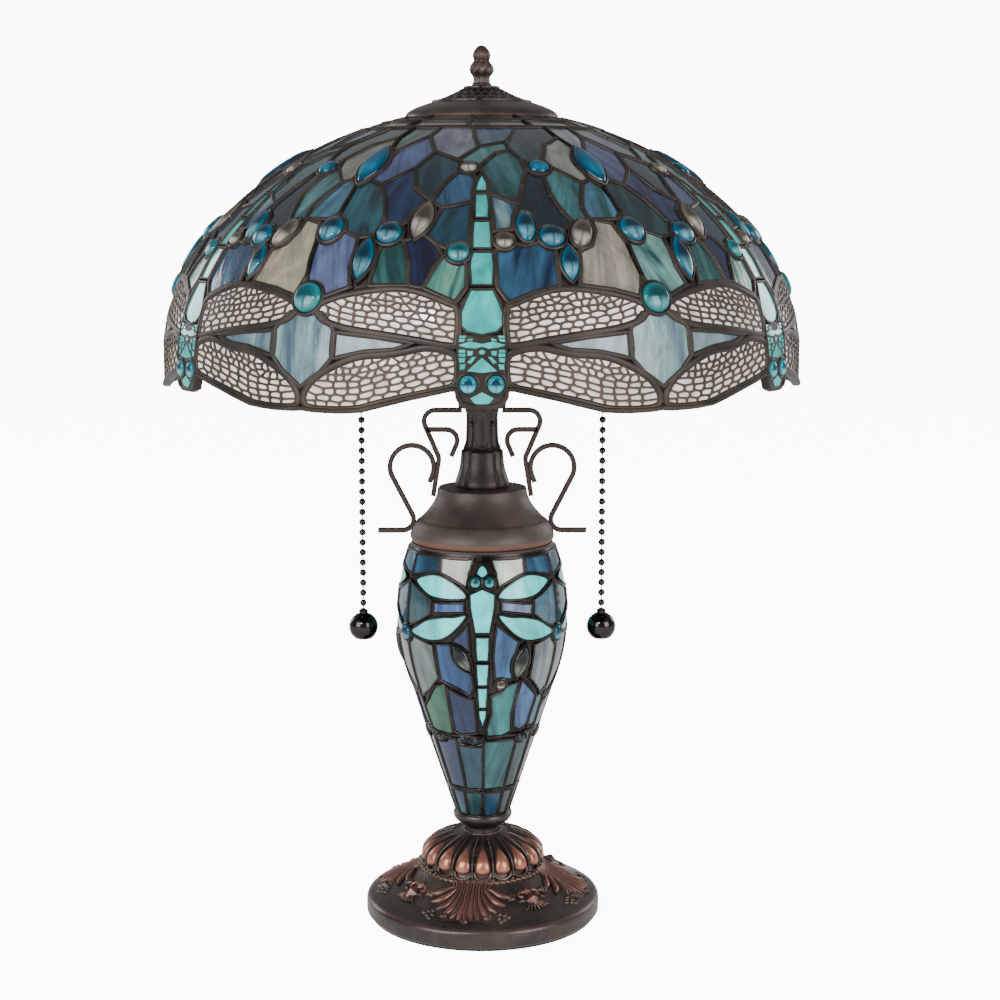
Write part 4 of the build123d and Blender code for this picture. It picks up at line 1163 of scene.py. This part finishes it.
def fan(shape, skin, azimuth):
    """A spreading acanthus leaf that hangs from the rope ring onto the foot's slope."""
    top, tip = skin.s_at(38.0), skin.s_at(18.6)
    drop = top - tip
    path = [(0, top - part * drop) for part in (0, 0.4, 0.75)] + [(0, tip)]
    petal(shape, skin, azimuth, path, (28, 40, 54, 34), 1.6, 0.06, columns=16)
    for i in range(-6, 7):
        side, (wide, share) = (1 if i > 0 else -1), FAN_ENDS[abs(i)]
        end_x, end = side * wide, top - share * drop
        path = (
            (2.2 * i, top), (2.1 * i, top - 0.2 * drop), (1.9 * i + 0.12 * end_x, top - 0.5 * share * drop),
            (0.68 * end_x + 0.3 * i, top - 0.83 * share * drop), (end_x, end),
        )
        petal(shape, skin, azimuth, path, (2.3, 2.4, 3.2, 5.0, 1.6), 2.3, 0.5 if i % 2 else 0.26, lift=0.7)
        if abs(i) in (0, 3, 6):
            tilt = 0.8 * side if i else 0.0
            path = ((end_x - 4 * tilt, end + 4), (end_x, end + 0.6), (end_x + 3 * tilt, end - 2.4))
            petal(shape, skin, azimuth, path, (2, 7.0, 0.4), 1.9, 0.16, groove=0.5, lift=0.9)
    for side in (1, -1):
        for x, s in dots("25,4 28.5,6.5 25,8 29,2.5 32,4.5 27,0.5"):
            bump_on(shape, skin, azimuth + side * x / skin.degree(tip + s), tip + s, 2.0, 2.2, 0.1)


SCROLL = dots("0,5.5 3,8.5 7,8 8.5,5 6,4")  # of a bud's stem, from the bud's middle


def bud(shape, skin, azimuth):
    """A faceted bud with a fringe below it and a small scrolled stem above, between two fans."""
    middle = skin.s_at(26)
    path = ((0, middle - 6), (0, middle), (0, middle + 6))
    petal(shape, skin, azimuth, path, (3.0, 12, 2.0), 3.4, 0.5, columns=2, facet=True, lift=1.4, steps=1)
    for i in range(-3, 4):
        path = ((1.7 * i, middle - 3), (2.6 * i, middle - 7), (3.7 * i, middle - 10.5 + abs(i) * 0.6))
        petal(shape, skin, azimuth, path, (2.0, 2.3, 0.3), 1.9, 0.15, lift=0.2)
    for side in (1, -1):
        path = [(x * side, middle + s) for x, s in SCROLL]
        line_on(shape, skin, azimuth, path, 1.2, 0.35, 0.6)
        path = ((6 * side, middle - 1), (9 * side, middle + 1), (12 * side, middle - 1.5))
        petal(shape, skin, azimuth, path, (0.5, 3.6, 0.3), 1.6, 0.2, lift=0.2)
    path = ((0, middle + 6), (0, middle + 9), (0, middle + 13))
    petal(shape, skin, azimuth, path, (1.5, 4.4, 0.6), 2.0, 0.4, lift=0.4)


def build_foot(looks):
    shape, outer = Shape(), smooth(FOOT_PROFILE, 5)
    skin = Skin(outer)
    profile = [(84.6, 1.5), (86.2, 2.2), *outer, *FOOT_INSIDE]
    lathe(shape, profile, 144, wear=lambda azimuth, i: 0.12 if 14 <= i <= 16 else 0.0)
    for i in range(4):
        fan(shape, skin, FOOT_FRONT + 90 * i)
        bud(shape, skin, FOOT_FRONT + 90 * i + 45)
    rope(shape, 45.6, 36.6, 1.9, 60, 0.3)
    rim, neck = skin.s_at(41), skin.s_at(61.6)
    rib = [(0, neck), (0, neck - 10), (0, neck - 20), (0, rim + 5), (0, rim + 1)]
    end = [(0, rim + s) for s in (22, 15, 8, 3.4, 1)]
    seam = [(0, neck - 3), (0, neck - 14), (0, rim + 14), (0, rim + 4), (0, rim - 1.5)]
    lip = [(x, rim + s) for x, s in dots("-6.6,3 -5,-1.2 0,-3.4 5,-1.2 6.6,3")]
    for i in range(GADROONS):
        azimuth, between = 360 * i / GADROONS, 360 * i / GADROONS + 180 / GADROONS
        petal(shape, skin, azimuth, rib, (1.2, 4.6, 8.4, 10.6, 5.0), 2.0, 0.1, columns=10)
        petal(shape, skin, azimuth, end, (0.6, 7.0, 11.6, 12.0, 3.0), 2.9, 1.0, lift=0.9, columns=10)
        petal(shape, skin, between, seam, (1.2, 1.4, 1.8, 2.4, 3.2), 3.3, 0.0, lift=0.6)
        line_on(shape, skin, azimuth, lip, 1.35, 0.05, 0.9)
        bump_on(shape, skin, between, rim - 3.2, 1.8, 2.2, 0.15)
    rope(shape, 13.2, 62.9, 1.2, 24, 0.1)
    shape.make("foot", [looks["bronze"]], "stand", "foot_casting", "bronze")
    holder = Shape()
    lathe(holder, smooth(CUP, 3, closed=True), 72)
    holder.make("vase_cup", [looks["bronze"]], "stand", "vase_holder", "bronze")


CAP_PROFILE = dots(
    "50.4,284 51.8,285.2 52.7,287.6 52.6,290.6 51.2,294.2 49,297.8 47.2,299.9 46,300.5 43.4,303 "
    "39.9,306.8 36.9,310.8 34.6,315 33.2,318.8 32.8,321.6 32.2,323.4 30,324.1 18,324.1 6.5,324.1 "
    "6.5,321.5 29,321 30.5,318 33,311 38,304 45,297.5 49.2,291 48,286 47.4,284"
)
COLUMN_PROFILE = dots(
    "18.9,324 19.5,325.4 19.4,328 18.5,331 17.3,334.6 16.3,338.6 15.6,343 15.2,347.5 14.9,350.4 "
    "13.4,352.2 12.2,354.6 11.6,360 11.3,368 11.2,376 11.9,380.4 12.2,382"
)
FLANGE_PROFILE = dots(
    "15.8,382 17.2,382.4 17.6,383.6 17.6,386 16.9,386.7 16.9,387.5 17.6,388.2 17.6,393.4 17,394.8 "
    "15.8,395 6.4,395 6.4,382"
)
def build_cap_and_column(looks):
    cap = Shape()
    line = smooth(CAP_PROFILE, 4, closed=True)
    lathe(cap, line, 128, wear=lambda azimuth, i: 0.55 * max(0.0, 1 - abs(i - 5) / 6))
    cap.make("vase_cover", [looks["satin"]], "stand", "vase_cap", "bronze")
    column = Shape()
    curve = smooth(COLUMN_PROFILE, 4)
    skin = Skin(curve)
    line = [*curve, Vector((6.4, 382)), Vector((6.4, 324))]

    def lobes(azimuth, i):
        """Four broad lobes with a groove between neighbours, fading out at both ends."""
        z = line[i].y
        if not 324.2 < z < 380.5 or line[i].x < 8:
            return 0.0
        crest = abs(cos(radians(2 * azimuth)))
        return -max(0.0, 1 - 2.2 * crest) ** 0.8 * (1.5 if z < 351 else 1.0) + 0.35 * crest

    lathe(column, line, 160, swell=lobes)
    tongue = dots("-4.6,25 -4.8,8 -3.4,2.2 0,0 3.4,2.2 4.8,8 4.6,25")
    path = [(x, skin.s_at(353) + s) for x, s in tongue]
    for i in range(4):
        line_on(column, skin, 90 * i, path, 0.55, 0.0, 0.45)
        bump_on(column, skin, 90 * i + 45, skin.s_at(371), 1.9, 1.6, 0.1)
    column.make("column", [looks["aged"]], "stand", "column_casting", "bronze")
    flange = Shape()
    lathe(flange, FLANGE_PROFILE, 72, wear=lambda azimuth, i: 0.15 if i in (2, 3, 6, 7) else 0.0)
    flange.make("flange", [looks["aged"]], "stand", "column_flange", "bronze")


HEXAGON = dots("-1,-0.25 0,-0.75 1,-0.25 1,0.25 0,0.75 -1,0.25")
VENT_PROFILE = dots(
    "55.2,588.2 54.4,590.6 52.4,593.2 47.6,595.9 40.2,598.7 34,600.6 31.3,601.5 24.2,604.1 17.8,607.1 "
    "12.6,609.8 10.5,611"
)
FINIAL_PROFILE = dots(
    "3.3,611.3 6.6,611.4 6.9,612.6 6,613.6 5.7,616.6 6.2,618.4 7.9,620.6 8.5,622.8 7.9,625.4 6.2,627.8 "
    "5.2,629 5.7,630.4 6,632.6 5.4,635.2 4.4,637.2 2.9,638.9 1.2,639.8 0.05,640"
)
def build_top(looks):
    """The pierced vent cap and the finial above it."""
    vent = Shape()
    line = smooth(VENT_PROFILE, 4)
    skin = Skin(line)
    plain = line[:22] + [p - Vector((0.3, 1.6)) for p in reversed(line[:22])]
    lathe(vent, plain, 128, wear=lambda azimuth, i: 0.25 if i < 5 else 0.0)
    start, end = skin.s_at(600.6), skin.s_at(610.0)
    k = skin.degree(start + 8)
    rows, holes = 3, 22
    pitch, tall = 360 / holes * k, (end - start) / (rows + 0.5)
    cells = []
    for row in range(rows):
        y = start + tall * (row + 0.75)
        for i in range(holes):
            x = pitch * (i + 0.5 * (row % 2))
            cells.append([Vector((x + dx * pitch / 2, y + dy * tall)) for dx, dy in HEXAGON])
    net(vent, skin, cells, k, top=0.5, low=-1.6, half=0.95)
    for s in (start - 0.6, end + 0.4):
        bead(vent, skin, [(i * 6, s) for i in range(60)], 2.2, 1.2, depth=1.5, closed=True)
    # Painted shade: a near-black sheet just inside the pierced band stands for the dark inside of the cap that shows
    # through its holes. A near-black ring closes the top round the stud, as painted shade under the finial.
    inwards = skin.normal(start + 4) * -2.4
    painted_shadow_sheet = [skin.meridian(start - 2 + (end - start + 4) * i / 8) + inwards for i in range(9)]
    lathe(vent, painted_shadow_sheet + [p - Vector((0.2, 1.0)) for p in reversed(painted_shadow_sheet)], 64, look=1)
    lathe(vent, dots("9.4,607.6 9.6,610.2 7.6,611.2 3.2,611.2 3.2,607.6"), 48, look=1)
    vent.make("vent_cover", [looks["aged"], looks["dark"]], "shade", "vent_cap", "bronze")
    knob = Shape()
    curve = smooth(FINIAL_PROFILE, 4)

    def swirl(azimuth, i):
        if i < len(curve) and 18 < i < 42:
            return 0.42 * cos(radians(azimuth * 9 - i * 17))
        if i < len(curve) and 6 < i < 18:
            return 0.3 * cos(radians(azimuth * 8))
        return 0.0

    profile = [*curve, (0.05, 624), (3.3, 624)]
    lathe(knob, profile, 108, swell=swirl, wear=lambda azimuth, i: max(0.0, 0.9 * swirl(azimuth, i)))
    top = Skin(curve)
    low = top.s_at(629.4)
    for i in range(6):
        petal(knob, top, 60 * i, ((0, low), (0, low + 4), (0, top.s_at(637.6))), (2.0, 4.6, 0.3), 1.0, 0.35)
    knob.make("finial_casting", [looks["aged"]], "finial", "finial", "bronze")


# ---- Bars and chains ------------------------------------------------------------------------
SIDES = ((-1, "left"), (1, "right"))


def bend(corners, radius):
    """A line through 2-D corners, rounded at each of them."""
    corners = [Vector(c) for c in corners]
    line = [corners[0]]
    for a, b, c in zip(corners, corners[1:], corners[2:]):
        u, v = (a - b).normalized(), (c - b).normalized()
        half = u.angle(v) / 2
        reach = radius / tan(half)
        middle = b + (u + v).normalized() * radius / sin(half)
        start, end = b + u * reach - middle, b + v * reach - middle
        sweep = start.angle_signed(end)
        for i in range(9):
            turn = -sweep * i / 8
            x, y = start.x * cos(turn) - start.y * sin(turn), start.x * sin(turn) + start.y * cos(turn)
            line.append(middle + Vector((x, y)))
    return line + [corners[-1]]


def square_bar(shape, line, side):
    """A square bar with eased edges along (x, z) points at y = 0."""
    half, ease = side / 2, side * 0.14
    section = []
    for x, y in dots("1,1 -1,1 -1,-1 1,-1"):
        for dx, dy in (((0, 1), (1, 0)) if x * y < 0 else ((1, 0), (0, 1))):
            section.append((x * (half - ease * dx), y * (half - ease * dy)))
    points = []
    for i, p in enumerate(line):
        go = (line[min(i + 1, len(line) - 1)] - line[max(i - 1, 0)]).normalized()
        across = Vector((go.y, -go.x))
        for x, y in section:
            q = p + across * x
            points.append((q.x, y, q.y))
    shape.add(points, rings(len(line), len(section), capped=True))


BAR = 3.7
BEND = 8  # radius of the bars' bends
CURL, CURL_AT = 16, Vector((51.4, 338.4))  # the curl of the lower bar


def build_scrolls(looks):
    curl = [CURL_AT + CURL * Vector((cos(radians(a)), sin(radians(a)))) for a in range(200, -28, -6)]
    lines = (
        bend(dots("14.6,380.2 46.5,380.2 31.4,345 35.9,317"), BEND),
        bend(dots("40.4,366 14,366 22.6,346.2"), BEND),
        [Vector((38.5, 327.1)), *curl[:-1], *bend((curl[-1], (45.2, 291.6), (76.6, 291.6)), BEND)],
    )
    for side, name in SIDES:
        bars = Shape()
        for line in lines:
            square_bar(bars, [Vector((side * p.x, p.y)) for p in line], BAR)
        bars.make(f"scroll_bars_{name}", [looks["plain_bronze"]], "stand", f"scroll_{name}", "bronze", sharp=30)


# As in the CAD: the chains hang at 88 mm from the axis, and their lowest ball is at 237.2 mm.
CHAIN_X, BALL, LOWEST, PITCH, BALLS = 88, 2.55, 237.2, 7.55, 24
LINK = dots("0.45,233 0.45,410.8 0.02,410.8 0.02,233")  # the wire through the balls
FOB, FOB_AT = 10.7, 219.4
FOB_NECK = dots("3.4,231.6 2.9,232.1 1.8,232.3 1.8,233 0.02,233")


def build_chains(looks):
    ball = [(max(0.02, BALL * sin(pi * i / 10)), -BALL * cos(pi * i / 10)) for i in range(11)]
    globe = [(FOB * cos(radians(a)), FOB_AT + FOB * sin(radians(a))) for a in range(-56, 73, 4)]
    for side, name in SIDES:
        chain, fob = Shape(), Shape()
        for n in range(BALLS):
            lathe(chain, [(r, z + LOWEST + PITCH * n) for r, z in ball], 16)
        lathe(chain, LINK, 8)
        lathe(fob, [(0.02, 210.4), (5.4, 210.4), *globe, *FOB_NECK], 64)
        for shape, title, node in ((chain, "bead_chain", "chain_lower"), (fob, "ball_fob", "fob")):
            shape.points = [(x + CHAIN_X * side, y, z) for x, y, z in shape.points]
            shape.make(f"{title}_{name}", [looks["nickel"]], f"chain_{name}", f"{node}_{name}", "black_nickel")


# ---- CAD parts that stay --------------------------------------------------------------------
KINDS = {
    "felt": "felt_pad",
    "steel": "foot_washer foot_nut riser_rod night_light_bracket",
    "plastic": "cord_bushing",
    "brass": "socket_shell_right socket_shell_left night_light_socket bulb_base_right bulb_base_left"
             " shade_seat_nut",
    "insulator": "socket_liners",
    "frosted": "night_light_bulb bulb_glass_right bulb_glass_left",
    "nickel": "chain_upper_right chain_upper_left switch_mouths",
    "plain_bronze": "vase_bottom_ring vase_top_ring cluster_body shade_spider shade_crown_ring",
}


def dress_frame(looks):
    """Gives every CAD node that is shown a material of its own kind."""
    for kind, nodes in KINDS.items():
        for node in nodes.split():
            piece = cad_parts[node]
            piece.data.materials.clear()
            piece.data.materials.append(looks[kind])


make_camera()
make_studio()
copper = rgb(172, 110, 92)
materials = {
    "glass": streaky_glass(),
    "jewel": jewel_glass(),
    "lead": bronze("patinated_solder", rgb(46, 40, 36), rgb(84, 70, 61), 0.45, 0.7, 0.4),
    "fine_lead": bronze("glossy_solder", rgb(40, 36, 34), rgb(86, 80, 76), 0.26, 0.85, 0.3),
    "filigree": bronze("etched_filigree", rgb(60, 50, 44), rgb(92, 78, 68), 0.45, 0.6, 0.4),
    "bronze": bronze("cast_bronze", rgb(58, 52, 49), copper, 0.3, 0.7, 0.05),
    "satin": bronze("satin_bronze", rgb(70, 61, 56), rgb(138, 84, 66), 0.5, 0.5, 0.1),
    "aged": bronze("aged_bronze", rgb(50, 44, 41), rgb(112, 72, 58), 0.4, 0.6, 0.08),
    "plain_bronze": bronze("bar_bronze", rgb(62, 53, 49), rgb(92, 74, 66), 0.4, 0.7, 0.15),
    # near-black, painted shade inside the vent cap
    "dark": moulded("painted_shadow_fill", rgb(20, 16, 15), 0.8),
    "felt": fibrous("dark_felt", rgb(24, 24, 23)),
    "steel": plated("zinc_steel", rgb(150, 146, 140), 0.35),
    "plastic": moulded("black_plastic", rgb(20, 20, 21), 0.4),
    "brass": plated("lacquered_brass", rgb(190, 150, 84), 0.25),
    "insulator": moulded("card_insulator", rgb(96, 74, 58), 0.8),
    "frosted": frosted(),
    "nickel": plated("black_nickel", rgb(60, 57, 58), 0.1),
}
for build in (build_shade, build_vase, build_foot, build_cap_and_column, build_top, build_scrolls, build_chains):
    build(materials)
dress_frame(materials)
